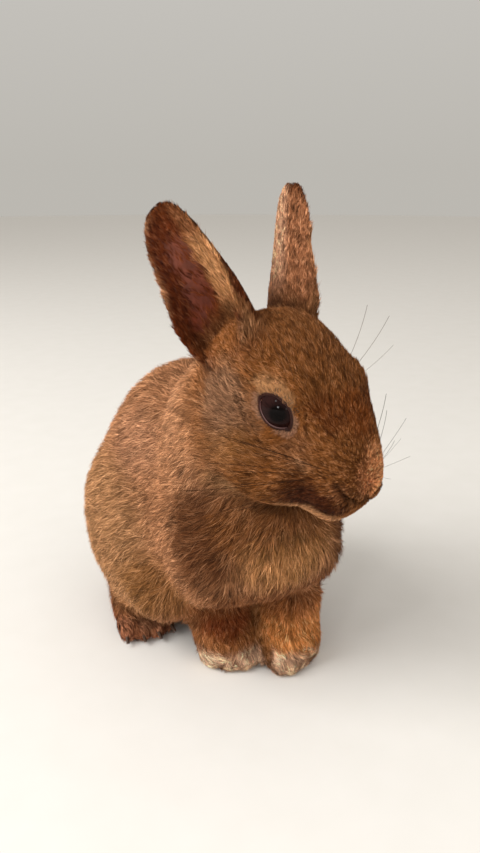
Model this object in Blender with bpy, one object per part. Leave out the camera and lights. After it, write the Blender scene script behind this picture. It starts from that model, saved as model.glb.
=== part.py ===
"""A young rabbit sitting up with its head turned to its left, life size, as a still museum model.

The rabbit faces -Y, its left is +X and +Z is up. The origin is on the floor, under the middle of the
whole model. Every size below is in millimetres and becomes metres where a mesh is made.

The flesh is modelled whole: lofts and ellipsoids are fused by a voxel remesh and smoothed, then parted
with thin cuts into the pieces a person would name. The shape is that of the coat's tips.
"""

import math

import bmesh
import bpy
import numpy as np
from mathutils import Matrix, Vector

MM = 0.001
GAP = 0.35  # clearance of every thin cut

# Driving dimensions of the animal, coat included.
BACK_HEIGHT = 110.0
CHEST_FRONT = 33.0
CHEST_TO_RUMP = 129.0
HAUNCH_WIDTH = 96.0
EAR_WIDTH = 25.0
EYE_RADIUS = 7.4
EYE_PLACE = (-1.8, 11.7, 0.2)  # an eyeball's centre in head coordinates

# The head: the point midway between the eyes, ahead of the chest's middle, and how it is turned.
HEAD_PLACE = (38.0, 2.0, 114.0)
HEAD_YAW = 20.0
HEAD_PITCH = 17.0
HEAD_ROLL = 0.0

# Each foreleg's wrist and the tip of its foot, forward and left, and where the hind feet stand.
FORELEGS = {"left": ((-1.0, 17.0), (19.0, 11.0)), "right": ((-11.0, -8.5), (9.0, -8.5))}
FORE_TOES_BACK = (9.0, 7.5, 9.5, 15.0)  # how far behind the tip each toe's middle is, inner to outer
HIND_TOES = -25.0
HIND_FOOT_OUT = 31.0

# How finely the fused flesh is meshed, and how many triangles it is brought down to.
TORSO_VOXEL = 2.6
BODY_VOXEL = 1.5
FLESH_TRIANGLES = 3900

COLOURS = {
    "coat": ((0.33, 0.16, 0.07), 0.85),
    "ear": ((0.30, 0.13, 0.07), 0.8),
    "paw": ((0.38, 0.15, 0.04), 0.85),
    "eye": ((0.012, 0.007, 0.006), 0.08),
}


# ---------------------------------------------------------------- places, meshes and modifiers


def at(forward, left, up):
    """A point of the body, in millimetres, from how far it is forward, left and up."""
    return Vector((left, -forward, up))


def head_matrix():
    """Turns and moves head coordinates, whose origin is midway between the eyes, into the body's."""
    turn = (
        Matrix.Rotation(math.radians(HEAD_YAW), 4, "Z")
        @ Matrix.Rotation(math.radians(HEAD_PITCH), 4, "X")
        @ Matrix.Rotation(math.radians(HEAD_ROLL), 4, "Y")
    )
    return Matrix.Translation(at(*HEAD_PLACE)) @ turn


def add_object(name, mesh_builder):
    """A mesh object in metres from a bmesh in millimetres, with its normals made to point out."""
    bmesh.ops.recalc_face_normals(mesh_builder, faces=mesh_builder.faces)
    bmesh.ops.scale(mesh_builder, vec=(MM, MM, MM), verts=mesh_builder.verts)
    mesh = bpy.data.meshes.new(name)
    mesh_builder.to_mesh(mesh)
    mesh_builder.free()
    obj = bpy.data.objects.new(name, mesh)
    bpy.context.scene.collection.objects.link(obj)
    return obj


def add_modifier(obj, kind, **settings):
    """A modifier with these settings."""
    modifier = obj.modifiers.new(kind.title(), kind)
    for key, value in settings.items():
        setattr(modifier, key, value)
    return modifier


def apply_modifiers(obj):
    """Puts the object's evaluated mesh in place of its own and drops its modifiers."""
    graph = bpy.context.evaluated_depsgraph_get()
    mesh = bpy.data.meshes.new_from_object(obj.evaluated_get(graph), depsgraph=graph)
    obj.modifiers.clear()
    obj.data = mesh
    return obj


def copy_of(obj, name):
    """A separate object with its own copy of the mesh."""
    twin = bpy.data.objects.new(name, obj.data.copy())
    bpy.context.scene.collection.objects.link(twin)
    return twin


def joined(name, pieces):
    """One object that holds the meshes of all the pieces, which are removed."""
    builder = bmesh.new()
    for piece in pieces:
        builder.from_mesh(piece.data)
        bpy.data.objects.remove(piece)
    mesh = bpy.data.meshes.new(name)
    builder.to_mesh(mesh)
    builder.free()
    obj = bpy.data.objects.new(name, mesh)
    bpy.context.scene.collection.objects.link(obj)
    return obj


def fused(name, pieces, voxel, smoothing):
    """One smooth skin round all the pieces: a voxel remesh, then a number of smoothing passes."""
    obj = joined(name, pieces)
    add_modifier(obj, "REMESH", mode="VOXEL", voxel_size=voxel * MM)
    add_modifier(obj, "SMOOTH", factor=0.5, iterations=smoothing)
    return apply_modifiers(obj)


# ---------------------------------------------------------------- shapes


def smooth_rows(rows, steps):
    """A Catmull-Rom curve through rows of numbers, with so many steps from each row to the next."""
    rows = np.array(rows, float)
    padded = np.vstack([2 * rows[0] - rows[1], rows, 2 * rows[-1] - rows[-2]])
    found = []
    for before, start, end, after in zip(padded, padded[1:], padded[2:], padded[3:], strict=False):
        for t in np.arange(steps) / steps:
            bend = 2 * before - 5 * start + 4 * end - after
            sway = 3 * (start - end) + after - before
            found.append(0.5 * (2 * start + (end - before) * t + bend * t**2 + sway * t**3))
    found.append(rows[-1])
    return np.array(found)


def ring_points(centre, side, lift, width, rise, drop, squareness, count):
    """A closed ring that is an upper and a lower half of a superellipse, of different heights."""
    found = []
    for angle in np.arange(count) * 2 * math.pi / count:
        across, along = math.cos(angle), math.sin(angle)
        across = math.copysign(abs(across) ** (2 / squareness), across)
        along = math.copysign(abs(along) ** (2 / squareness), along)
        height = (rise if along > 0 else drop) * along
        found.append(centre + side * (width * across) + lift * height)
    return found


def skin_rings(rings, folded=False):
    """A closed bmesh over a run of rings. Its ends are fans or, on a folded ring, a strip of quads."""
    builder = bmesh.new()
    loops = [[builder.verts.new(point) for point in ring] for ring in rings]
    count = len(loops[0])
    for first, second in zip(loops, loops[1:], strict=False):
        for index in range(count):
            after = (index + 1) % count
            builder.faces.new((first[index], first[after], second[after], second[index]))
    for loop in (loops[0], loops[-1]):
        if folded:
            for index in range(count // 2 - 1):
                far = count - 1 - index
                builder.faces.new((loop[index], loop[index + 1], loop[far - 1], loop[far]))
            continue
        middle = builder.verts.new(sum((vert.co for vert in loop), Vector()) / count)
        for index in range(count):
            builder.faces.new((middle, loop[index], loop[(index + 1) % count]))
    return builder


def upright_loft(name, rows, matrix, steps=5, count=36):
    """A loft along the forward axis. Each row is forward, left, up, half width, rise, drop, squareness."""
    rings = []
    for forward, left, up, width, rise, drop, squareness in smooth_rows(rows, steps):
        centre = at(forward, left, up)
        side, lift = Vector((1, 0, 0)), Vector((0, 0, 1))
        ring = ring_points(centre, side, lift, width, rise, drop, squareness, count)
        rings.append([matrix @ point for point in ring])
    return add_object(name, skin_rings(rings))


def limb(name, rows, matrix, steps=5, count=20):
    """A tube along a path. Each row is forward, left, up, half width across the body, half depth."""
    rows = smooth_rows(rows, steps)
    points = [at(*row[:3]) for row in rows]
    rings = []
    for index, row in enumerate(rows):
        before, after = points[max(index - 1, 0)], points[min(index + 1, len(points) - 1)]
        along = (after - before).normalized()
        side = Vector((1, 0, 0))
        side = (side - along * side.dot(along)).normalized()
        lift = along.cross(side)
        ring = ring_points(points[index], side, lift, row[3], row[4], row[4], 2.2, count)
        rings.append([matrix @ point for point in ring])
    return add_object(name, skin_rings(rings))


def ellipsoid(name, place, radii, matrix, turn=(0.0, 0.0, 0.0), fine=28):
    """An ellipsoid with radii forward, across and up, turned by degrees of yaw, pitch and roll."""
    yaw, pitch, roll = (math.radians(angle) for angle in turn)
    rotation = (
        Matrix.Rotation(yaw, 4, "Z") @ Matrix.Rotation(pitch, 4, "X") @ Matrix.Rotation(roll, 4, "Y")
    )
    scale = Matrix.Diagonal((radii[1], radii[0], radii[2], 1))
    builder = bmesh.new()
    bmesh.ops.create_uvsphere(
        builder,
        u_segments=fine,
        v_segments=fine * 2 // 3,
        radius=1,
        matrix=matrix @ Matrix.Translation(at(*place)) @ rotation @ scale,
    )
    return add_object(name, builder)


# ---------------------------------------------------------------- the body's masses

BODY = Matrix.Identity(4)


def mirrored(place, sign):
    """The same place on the other side when sign is -1."""
    return (place[0], sign * place[1], place[2])


def build_torso():
    """The trunk, neck, shoulders, thighs and tail root, smoothed together."""
    top, half = BACK_HEIGHT, HAUNCH_WIDTH / 2
    rump = CHEST_FRONT - CHEST_TO_RUMP
    trunk_rows = [
        # forward, left, up, half width, rise, drop, squareness
        (rump, 0, 40, 12, 14, 16, 2.0),
        (rump + 6, 0, 44, 26, 30, 32, 2.0),
        (rump + 20, 0, 49, 36, 47, 40, 2.1),
        (rump + 38, 0, 52, 39.5, top - 53, 41, 2.2),
        (rump + 57, 0, 54, 38.5, top - 54, 39, 2.2),
        (rump + 77, 0, 56, 35.5, top - 59, 37, 2.2),
        (rump + 95, -3, 58, 32, top - 64, 32, 2.1),
        (rump + 111, -2.5, 60, 28, 38, 27, 2.0),
        (rump + 123, -1, 61, 19, 26, 19, 2.0),
        (rump + CHEST_TO_RUMP, 0, 61, 8, 10, 9, 2.0),
    ]
    masses = [upright_loft("trunk_loft", trunk_rows, BODY)]
    neck_rows = [
        # forward, left, up, half width, half depth
        (-2, -2, 73, 31, 32),
        (2, -4, 91, 28.5, 31),
        (10, -5, 106, 25, 26),
        (19, -4, 118, 19, 19),
    ]
    masses.append(limb("neck_loft", neck_rows, BODY, count=32))
    for sign in (1, -1):
        masses += [
            ellipsoid("thigh", mirrored((-48, half - 22, 44), sign), (43, 22.5, 36), BODY, (0, 12, 0)),
            ellipsoid("knee", mirrored((-21, half - 22, 33), sign), (20, 17.5, 20), BODY),
            ellipsoid("shoulder", (7, sign * 18 - 1.5, 54), (20, 15.5, 22), BODY),
            ellipsoid("elbow", (-4, sign * 20 - 1.5, 41), (14, 12, 12), BODY),
        ]
    masses.append(ellipsoid("tail", (rump + 1, 0, 27), (12, 12.5, 14), BODY, (0, -25, 0)))
    return fused("torso", masses, TORSO_VOXEL, 14)


def build_head():
    """The skull with its cheeks, muzzle, brows and chin, in head coordinates."""
    matrix = head_matrix()
    skull_rows = [
        (-37, 0, 0, 8, 8, 9, 2.0),
        (-33, 0, -1, 16, 16, 17, 2.0),
        (-24, 0, -2, 20.5, 22.5, 22, 2.2),
        (-13, 0, -3, 21.5, 24.5, 24, 2.4),
        (-2, 0, -4, 18.5, 22.7, 26.5, 2.45),
        (8, 0, -6, 16.1, 19.2, 27, 2.4),
        (15, 0, -8.5, 13.9, 16.3, 23, 2.35),
        (21, 0, -11, 11.6, 11.8, 18.5, 2.25),
        (26, 0, -13, 8.8, 7.8, 12.5, 2.1),
        (28.8, 0, -13.5, 4.6, 3.8, 5.5, 2.0),
    ]
    masses = [upright_loft("skull_loft", skull_rows, matrix)]
    for sign in (1, -1):
        masses += [
            ellipsoid("cheek", mirrored((-5, 9, -18.5), sign), (20, 14, 17), matrix),
            ellipsoid("brow", mirrored((0.5, 10.8, 6.5), sign), (10.5, 6.8, 7.6), matrix),
            ellipsoid("whisker_pad", mirrored((19, 6.2, -17.5), sign), (9.5, 7.6, 9), matrix),
        ]
    masses.append(ellipsoid("chin", (15.5, 0, -27.5), (9, 8, 5.5), matrix))
    return fused("skull", masses, BODY_VOXEL, 5)


def build_forefoot(side, sign):
    """A foreleg from the elbow to the toes of one side. The foot stands flat on the floor."""
    wrist, tip = FORELEGS[side]
    reach, drift = tip[0] - wrist[0], tip[1] - wrist[1]
    leg_rows = [
        (wrist[0] - 2, wrist[1], 44, 12.5, 12),
        (wrist[0], wrist[1], 25, 12, 11.5),
        (wrist[0] + reach * 0.1, wrist[1] + drift * 0.2, 13, 12, 11.5),
        (wrist[0] + reach * 0.4, wrist[1] + drift * 0.45, 9, 11.5, 9.5),
        (wrist[0] + reach * 0.68, wrist[1] + drift * 0.75 - sign * 1.2, 5.5, 8.5, 7),
    ]
    turn = math.degrees(math.atan2(drift, reach))
    masses = [limb("foreleg_loft", leg_rows, BODY)]
    for index, back in enumerate(FORE_TOES_BACK):
        spread = sign * (index - 1.5) * 5.2
        place = (tip[0] - back, tip[1] - back * drift / reach + spread, 3.6)
        masses.append(ellipsoid("toe", place, (8, 3.6, 5), BODY, (turn + spread, 12, 0), 16))
    return masses


def build_hind_foot(sign):
    """A long hind foot of one side, flat on the floor from heel to toes."""
    out = HIND_FOOT_OUT
    foot_rows = [
        (-84, sign * (out - 6), 9, 5, 6),
        (-78, sign * (out - 5), 9, 8.5, 9),
        (-62, sign * (out - 3), 8, 9.5, 9),
        (-46, sign * out, 7.5, 10.5, 8.5),
        (HIND_TOES - 10, sign * out, 6, 10.5, 7.5),
    ]
    masses = [limb("hind_foot_loft", foot_rows, BODY)]
    for index in range(4):
        spread = (index - 1.5) * 5.3
        back = 9 + abs(index - 1.5) * 2.2
        place = (HIND_TOES - back, sign * out + spread, 3.8)
        masses.append(ellipsoid("toe", place, (9.5, 3.8, 5.2), BODY, (spread * 1.5, 8, 0), 16))
    return masses


def flatten_soles(obj):
    """Cuts off what dips under the floor, which leaves a flat under each foot."""
    builder = bmesh.new()
    builder.from_mesh(obj.data)
    everything = builder.verts[:] + builder.edges[:] + builder.faces[:]
    cut = bmesh.ops.bisect_plane(
        builder, geom=everything, plane_co=(0, 0, 0), plane_no=(0, 0, -1), clear_outer=True
    )
    rim = [item for item in cut["geom_cut"] if isinstance(item, bmesh.types.BMEdge)]
    bmesh.ops.holes_fill(builder, edges=rim)
    builder.to_mesh(obj.data)
    builder.free()


def build_flesh():
    """The whole animal without its ears and eyes, as one closed skin of few triangles."""
    masses = [build_torso(), build_head()]
    for side, sign in (("left", 1), ("right", -1)):
        masses += build_forefoot(side, sign) + build_hind_foot(sign)
    flesh = fused("flesh", masses, BODY_VOXEL, 5)
    triangles = sum(len(face.vertices) - 2 for face in flesh.data.polygons)
    add_modifier(flesh, "DECIMATE", ratio=FLESH_TRIANGLES / triangles, use_collapse_triangulate=True)
    apply_modifiers(flesh)
    flatten_soles(flesh)
    return flesh


# ---------------------------------------------------------------- ears and eyes

# Each ear's base in head coordinates; its tip and the way its hollow faces, in the body's; by how many
# degrees the hollow turns from base to tip; and how much wider and deeper than usual it is held.
EARS = {
    "ear_right": {
        "base": (-20.4, -12.9, 7),
        "tip": (0.9, -39.2, 169.8),
        "opens": (0.34, -0.94, 0.1),
        "twist": 10,
        "wider": 1.18,
        "deeper": 1.5,
    },
    "ear_left": {
        "base": (-24.4, 13.1, 11),
        "tip": (3.5, 17.6, 175.5),
        "opens": (0.1, 0.99, 0),
        "twist": 18,
        "wider": 1.0,
        "deeper": 1.0,
    },
}


def build_ear(name, base, tip, opens, twist, wider, deeper):
    """A cupped leaf: a tube at its base that opens to a hollow blade with a round tip."""
    root = head_matrix() @ at(*base)
    end = at(*tip)
    axis = (end - root).normalized()
    facing = at(*opens)
    facing = (facing - axis * facing.dot(axis)).normalized()
    length = (end - root).length
    half, across = EAR_WIDTH / 2, 6
    profile = [
        # share of the length, radius of the cup, its half angle in degrees, wall, depth to width
        (0.0, half - 1.0, 150, 3.2, 0.72),
        (0.18, half + 0.2, 120, 3.2, 0.70),
        (0.38, half + 0.1, 93, 3.0, 0.66),
        (0.58, half - 0.6, 74, 2.7, 0.62),
        (0.77, half - 1.4, 61, 2.4, 0.62),
        (0.91, half - 3.0, 49, 2.2, 0.62),
        (0.975, half - 5.2, 38, 2.0, 0.62),
        (1.0, half - 8.6, 30, 1.6, 0.62),
    ]
    rings = []
    for share, radius, half_angle, wall, depth in smooth_rows(profile, 2):
        mouth = Matrix.Rotation(math.radians(twist * share), 3, axis) @ facing
        side = axis.cross(mouth)
        angle = math.radians(half_angle)
        above = min(share / 0.4, 1)
        radius, depth = radius * (1 + (wider - 1) * above), depth * (1 + (deeper / wider - 1) * above)
        centre = root + axis * (share * length) + mouth * (depth * (radius - half))
        inner, outer = [], []
        for index in range(across + 1):
            off = 2 * index / across - 1
            out = math.sin(angle * off), math.cos(angle * off)
            thick = wall * (1 - 0.35 * off**2)
            inward = radius - thick
            inner.append(centre + side * (inward * out[0]) - mouth * ((depth * radius - thick) * out[1]))
            outer.append(centre + side * (radius * out[0]) - mouth * (depth * radius * out[1]))
        rings.append(outer + inner[::-1])
    return add_object(name, skin_rings(rings, folded=True))


def build_eye(name, sign):
    """An eyeball that stands a little out of its socket."""
    place = mirrored(EYE_PLACE, sign)
    radii = (EYE_RADIUS, EYE_RADIUS, EYE_RADIUS)
    return ellipsoid(name, place, radii, head_matrix(), fine=15)


def hollow_sockets(flesh):
    """Opens a shallow hollow in the coat round each eye."""
    for sign in (1, -1):
        place = mirrored((EYE_PLACE[0] + 0.3, EYE_PLACE[1] + 9.0, EYE_PLACE[2]), sign)
        hollow = ellipsoid("hollow", place, (8.8, 7.0, 8.0), head_matrix(), fine=14)
        cut(flesh, hollow, "DIFFERENCE")


# ---------------------------------------------------------------- parting the flesh


def cut(obj, cutter, operation):
    """Cuts the object with the cutter, which is removed."""
    add_modifier(obj, "BOOLEAN", operation=operation, object=cutter, solver="EXACT")
    apply_modifiers(obj)
    bpy.data.objects.remove(cutter)


def egg(place, radii, matrix=BODY, turn=(0.0, 0.0, 0.0), fine=16):
    """An egg-shaped cutter, as a function of how much larger than its size it is made."""

    def grown(margin):
        return ellipsoid("cutter", place, [radius + margin for radius in radii], matrix, turn, fine)

    return grown


def block(low, high, pitch=0.0):
    """A block-shaped cutter between two corners, pitched about its low corner, grown likewise."""

    def grown(margin):
        corner = at(*low)
        size = [abs(end - start) for start, end in zip(low, high, strict=True)]
        middle = at(*[(end - start) / 2 for start, end in zip(low, high, strict=True)])
        scale = Matrix.Diagonal((size[1] + 2 * margin, size[0] + 2 * margin, size[2] + 2 * margin, 1))
        turn = Matrix.Rotation(math.radians(pitch), 4, "X")
        builder = bmesh.new()
        bmesh.ops.create_cube(
            builder,
            size=1,
            matrix=Matrix.Translation(corner) @ turn @ Matrix.Translation(middle) @ scale,
        )
        return add_object("cutter", builder)

    return grown


def part_off(rest, name, cutter):
    """Parts a piece from the rest, which gives up the gap between the two."""
    piece = copy_of(rest, name)
    cut(piece, cutter(0), "INTERSECT")
    cut(rest, cutter(GAP), "DIFFERENCE")
    return piece


def make_room(obj, guest, gap):
    """Cuts the shape of the guest, grown by the gap, out of the object."""
    grown = copy_of(guest, "grown")
    add_modifier(grown, "DISPLACE", strength=gap * MM, mid_level=0.0)
    cut(obj, apply_modifiers(grown), "DIFFERENCE")


def part_flesh(flesh):
    """Divides the flesh into its named pieces. What is left over is the trunk."""
    rump = CHEST_FRONT - CHEST_TO_RUMP
    cuts = {"head": egg((-3, 0, -4), (40, 30, 36), head_matrix(), fine=20)}
    for side, sign in (("left", 1), ("right", -1)):
        cuts |= {
            f"foreleg_{side}": block((-24, 1.5 + sign * 0.2, -5), (45, FORELEGS[side][0][1] + sign * 15, 28)),
            f"hind_foot_{side}": block((-98, sign * 19, -5), (-10, sign * 55, 12.5)),
            f"thigh_{side}": egg((-46, sign * 50, 40), (47, 28, 43)),
        }
    cuts["tail"] = egg((rump - 6, 0, 24), (17, 14, 18), fine=12)
    cuts["neck"] = block((-30, -50, 112), (60, 50, 190), 32)
    pieces = {name: part_off(flesh, name, cutter) for name, cutter in cuts.items()}
    flesh.name = "trunk"
    return pieces | {"trunk": flesh}


# ---------------------------------------------------------------- finish and place


def material(kind):
    """A plain material of the kind's colour and roughness."""
    colour, roughness = COLOURS[kind]
    made = bpy.data.materials.get(kind) or bpy.data.materials.new(kind)
    made.use_nodes = True
    shader = made.node_tree.nodes["Principled BSDF"]
    shader.inputs["Base Color"].default_value = (*colour, 1.0)
    shader.inputs["Roughness"].default_value = roughness
    return made


def kind_of(name):
    """The finish that a piece wears."""
    if name.startswith("eye"):
        return "eye"
    if name.startswith("ear"):
        return "ear"
    return "paw" if "foreleg" in name or "foot" in name else "coat"


def dress(obj):
    """Gives the piece its material and smooth shading."""
    obj.data.materials.clear()
    obj.data.materials.append(material(kind_of(obj.name)))
    for polygon in obj.data.polygons:
        polygon.material_index = 0
    obj.data.shade_smooth()


def stand_in_the_middle(pieces):
    """Moves every piece so that the middle of the whole model's box stands over the origin."""
    points = np.array([vert.co for piece in pieces for vert in piece.data.vertices])
    low, high = points.min(axis=0), points.max(axis=0)
    shift = Vector((-(low[0] + high[0]) / 2, -(low[1] + high[1]) / 2, -low[2]))
    for piece in pieces:
        piece.data.transform(Matrix.Translation(shift))


def main():
    """Builds the rabbit."""
    for obj in list(bpy.data.objects):
        bpy.data.objects.remove(obj)
    flesh = build_flesh()
    ears = [build_ear(name, **ear) for name, ear in EARS.items()]
    for ear in ears:
        make_room(ear, flesh, GAP)
    hollow_sockets(flesh)
    eyes = [build_eye(name, sign) for name, sign in (("eye_left", 1), ("eye_right", -1))]
    pieces = part_flesh(flesh)
    for eye in eyes:
        make_room(pieces["head"], eye, GAP)
    everything = [*pieces.values(), *ears, *eyes]
    for obj in everything:
        dress(obj)
    stand_in_the_middle(everything)


main()
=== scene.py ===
"""A young rabbit at life size: its skin, lids, eyes, coat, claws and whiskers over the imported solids.

Everything is in metres in the frame of the solids: the rabbit faces -Y, its left is +X and +Z is up.
Sizes are named in millimetres. The head has coordinates of its own, forward, left and up from a point
between the eyes, and the trunk's are forward, left and up from the floor under the chest.
"""
import logging
import math
from collections.abc import Iterator
from dataclasses import dataclass, field
from enum import Enum

import bmesh
import bpy
import numpy as np
from bpy.types import Material, Mesh, Node, NodeOutputs, NodeSocket, NodeTree, Object
from mathutils import Euler, Matrix, Vector
from mathutils.bvhtree import BVHTree
from mathutils.kdtree import KDTree


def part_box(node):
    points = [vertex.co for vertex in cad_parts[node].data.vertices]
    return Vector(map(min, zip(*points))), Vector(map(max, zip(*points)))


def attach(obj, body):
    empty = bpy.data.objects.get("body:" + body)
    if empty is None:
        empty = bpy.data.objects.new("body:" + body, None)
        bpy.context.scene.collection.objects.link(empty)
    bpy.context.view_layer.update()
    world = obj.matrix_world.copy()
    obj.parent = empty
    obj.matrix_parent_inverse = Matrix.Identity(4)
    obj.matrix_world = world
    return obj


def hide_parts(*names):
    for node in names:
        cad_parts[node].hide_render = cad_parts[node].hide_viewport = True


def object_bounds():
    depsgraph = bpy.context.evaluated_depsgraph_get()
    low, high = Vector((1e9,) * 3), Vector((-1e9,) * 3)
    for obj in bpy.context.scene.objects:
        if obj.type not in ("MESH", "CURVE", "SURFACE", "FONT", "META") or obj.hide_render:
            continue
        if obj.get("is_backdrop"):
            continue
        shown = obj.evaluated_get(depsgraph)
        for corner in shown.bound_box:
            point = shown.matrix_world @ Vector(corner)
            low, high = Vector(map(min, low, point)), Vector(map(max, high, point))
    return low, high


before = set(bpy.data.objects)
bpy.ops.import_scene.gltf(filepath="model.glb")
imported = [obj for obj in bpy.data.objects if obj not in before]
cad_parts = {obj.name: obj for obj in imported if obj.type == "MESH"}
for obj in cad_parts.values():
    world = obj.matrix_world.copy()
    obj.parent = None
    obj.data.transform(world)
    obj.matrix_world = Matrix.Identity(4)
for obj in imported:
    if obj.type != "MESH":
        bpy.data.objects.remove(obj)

Array = np.ndarray
MM = 0.001
LOG = logging.getLogger("rabbit")

HEAD_YAW = 20.0
HEAD_PITCH = 17.0
HEAD_PLACE = (38.0, 2.0, 114.0)  # the head's origin in trunk coordinates
EYES_MIDDLE = (-1.8, 0.2)  # forward and up, in head coordinates
EYE_RADIUS = 7.4
NOSE_TIP = (31.0, 0.0, -13.0)
FLOOR_GAP = 0.4  # how far skin and hair stay above the floor


class Region(Enum):
    """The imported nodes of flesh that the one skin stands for."""

    HEAD = "head"
    NECK = "neck"
    TRUNK = "trunk"
    TAIL = "tail"
    THIGH_LEFT = "thigh_left"
    THIGH_RIGHT = "thigh_right"
    FORELEG_LEFT = "foreleg_left"
    FORELEG_RIGHT = "foreleg_right"
    HIND_FOOT_LEFT = "hind_foot_left"
    HIND_FOOT_RIGHT = "hind_foot_right"
    EAR_LEFT = "ear_left"
    EAR_RIGHT = "ear_right"


REGIONS = list(Region)


class Side(Enum):
    """The two sides of the rabbit, with the sign of X on each."""

    LEFT = 1
    RIGHT = -1

    @property
    def word(self) -> str:
        """The side's name in lower case."""
        return self.name.lower()

    def region(self, part: str) -> Region:
        """The node of flesh of that name on this side."""
        return Region(f"{part}_{self.word}")


# ---------- arrays, colours, nodes and meshes


def linear(code: str) -> Array:
    """Turns an sRGB hex colour into linear light.

    Args:
        code: six hex digits after a hash.

    Returns:
        Three numbers from 0 to 1.
    """
    srgb = np.array([int(code[i : i + 2], 16) / 255 for i in (1, 3, 5)])
    return np.where(srgb <= 0.04045, srgb / 12.92, ((srgb + 0.055) / 1.055) ** 2.4)


def rgba(code: str) -> tuple:
    """An sRGB hex colour as linear red, green, blue and an alpha of one."""
    return (*linear(code), 1.0)


def lay_over(colour: Array, code: str, amount: Array) -> Array:
    """Moves each point's colour towards a hex colour, by an amount from 0 to 1."""
    return colour + amount[:, None] * (linear(code) - colour)


def unit(rows: Array) -> Array:
    """Rows of vectors at a length of one."""
    return rows / np.maximum(np.linalg.norm(rows, axis=-1, keepdims=True), 1e-12)


def across(rows: Array, normals: Array) -> Array:
    """Rows of vectors without their part along the normals."""
    return rows - (rows * normals).sum(-1, keepdims=True) * normals


def ramp(value: Array, low: float, high: float) -> Array:
    """A smooth step from 0 at low to 1 at high."""
    t = np.clip((value - low) / (high - low), 0, 1)
    return t * t * (3 - 2 * t)


def fade(value: Array, low: float, high: float) -> Array:
    """A smooth step from 1 at low to 0 at high."""
    return 1 - ramp(value, low, high)


def ripple(points: Array, wave_mm: float, seed: int, count: int = 7) -> Array:
    """A smooth random value at each point, about -1 to 1.

    Args:
        points: places in metres.
        wave_mm: the mean wavelength.
        seed: which pattern.
        count: how many waves are summed.

    Returns:
        One number for each point.
    """
    rng = np.random.default_rng(seed)
    waves = unit(rng.normal(size=(count, 3))) * rng.uniform(0.7, 1.5, (count, 1))
    phase = points @ waves.T * (math.tau / (wave_mm * MM)) + rng.uniform(0, math.tau, count)
    return np.sin(phase).sum(1) / math.sqrt(count)


def to_frame(rows: Array) -> Array:
    """Forward, left and up as X, Y and Z."""
    rows = np.asarray(rows, float)
    return np.stack((rows[..., 1], -rows[..., 0], rows[..., 2]), -1)


def from_frame(rows: Array) -> Array:
    """X, Y and Z as forward, left and up."""
    return np.stack((-rows[..., 1], rows[..., 0], rows[..., 2]), -1)


def folded(places: Array) -> Array:
    """Places forward, left and up with the right side laid over the left, so that one rule serves both."""
    return np.stack((places[:, 0], np.abs(places[:, 1]), places[:, 2]), 1)


def through(places: tuple, count: int) -> Array:
    """A smooth curve through places, without its last one.

    Args:
        places: rows of coordinates.
        count: how many points to give.

    Returns:
        The points, evenly spaced in the places' numbering.
    """
    rows = np.array(places, float)
    rows = np.concatenate((rows[:1] * 2 - rows[1:2], rows, rows[-1:] * 2 - rows[-2:-1]))
    t = np.linspace(0, len(places) - 1, count, endpoint=False)
    i = t.astype(int)
    f = (t - i)[:, None]
    a, b, c, d = (rows[i + k] for k in range(4))
    return 0.5 * (2 * b + (c - a) * f + (2 * a - 5 * b + 4 * c - d) * f**2 + (3 * b - a - 3 * c + d) * f**3)


def smooth_ring(rows: Array, steps: int) -> Array:
    """Averages each row of a closed ring with its neighbours, so many times."""
    for _ in range(steps):
        rows = (np.roll(rows, 1, 0) + 2 * rows + np.roll(rows, -1, 0)) / 4
    return rows


def add_node(tree: NodeTree, kind: str, settings: dict | None = None, links: dict | None = None) -> Node:
    """Adds a node with its settings and links.

    Args:
        tree: the node tree.
        kind: the node's type name.
        settings: attributes by name, or input values by number or by name after "in:".
        links: output sockets to link, by input number or name.

    Returns:
        The new node.
    """
    node = tree.nodes.new(kind)
    for key, value in (settings or {}).items():
        if isinstance(key, int):
            node.inputs[key].default_value = value
        elif key.startswith("in:"):
            node.inputs[key[3:]].default_value = value
        else:
            setattr(node, key, value)
    for key, socket in (links or {}).items():
        tree.links.new(socket, node.inputs[key])
    return node


def mesh_object(name: str, points: Array, faces: Array) -> Object:
    """Makes an object from arrays, shaded smooth.

    Args:
        name: the piece's name.
        points: places in metres, one row each.
        faces: rows of three point numbers.

    Returns:
        The object, linked to the scene.
    """
    mesh = bpy.data.meshes.new(name)
    sides = faces.shape[1]
    mesh.vertices.add(len(points))
    mesh.vertices.foreach_set("co", np.ascontiguousarray(points, np.float32).ravel())
    mesh.loops.add(faces.size)
    mesh.loops.foreach_set("vertex_index", np.ascontiguousarray(faces, np.int32).ravel())
    mesh.polygons.add(len(faces))
    mesh.polygons.foreach_set("loop_start", np.arange(len(faces), dtype=np.int32) * sides)
    mesh.update(calc_edges=True)
    mesh.shade_smooth()
    obj = bpy.data.objects.new(name, mesh)
    bpy.context.scene.collection.objects.link(obj)
    return obj


def baked_mesh(source: Object) -> Mesh:
    """The plain mesh that an object's modifiers make of it; the object itself is removed."""
    graph = bpy.context.evaluated_depsgraph_get()
    mesh = bpy.data.meshes.new_from_object(source.evaluated_get(graph), depsgraph=graph)
    bpy.data.objects.remove(source)
    return mesh


def set_colour(mesh: Mesh, colours: Array) -> None:
    """Stores one linear colour for each point, as the attribute Marking."""
    layer = mesh.color_attributes.new("Marking", "FLOAT_COLOR", "POINT")
    flat = np.ones((len(mesh.vertices), 4), np.float32)
    flat[:, :3] = np.clip(colours, 0, 1)
    layer.data.foreach_set("color", flat.ravel())


def points_of(mesh: Mesh) -> Array:
    """A mesh's points as an array."""
    flat = np.empty(len(mesh.vertices) * 3, np.float32)
    mesh.vertices.foreach_get("co", flat)
    return flat.reshape(-1, 3).astype(float)


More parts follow.
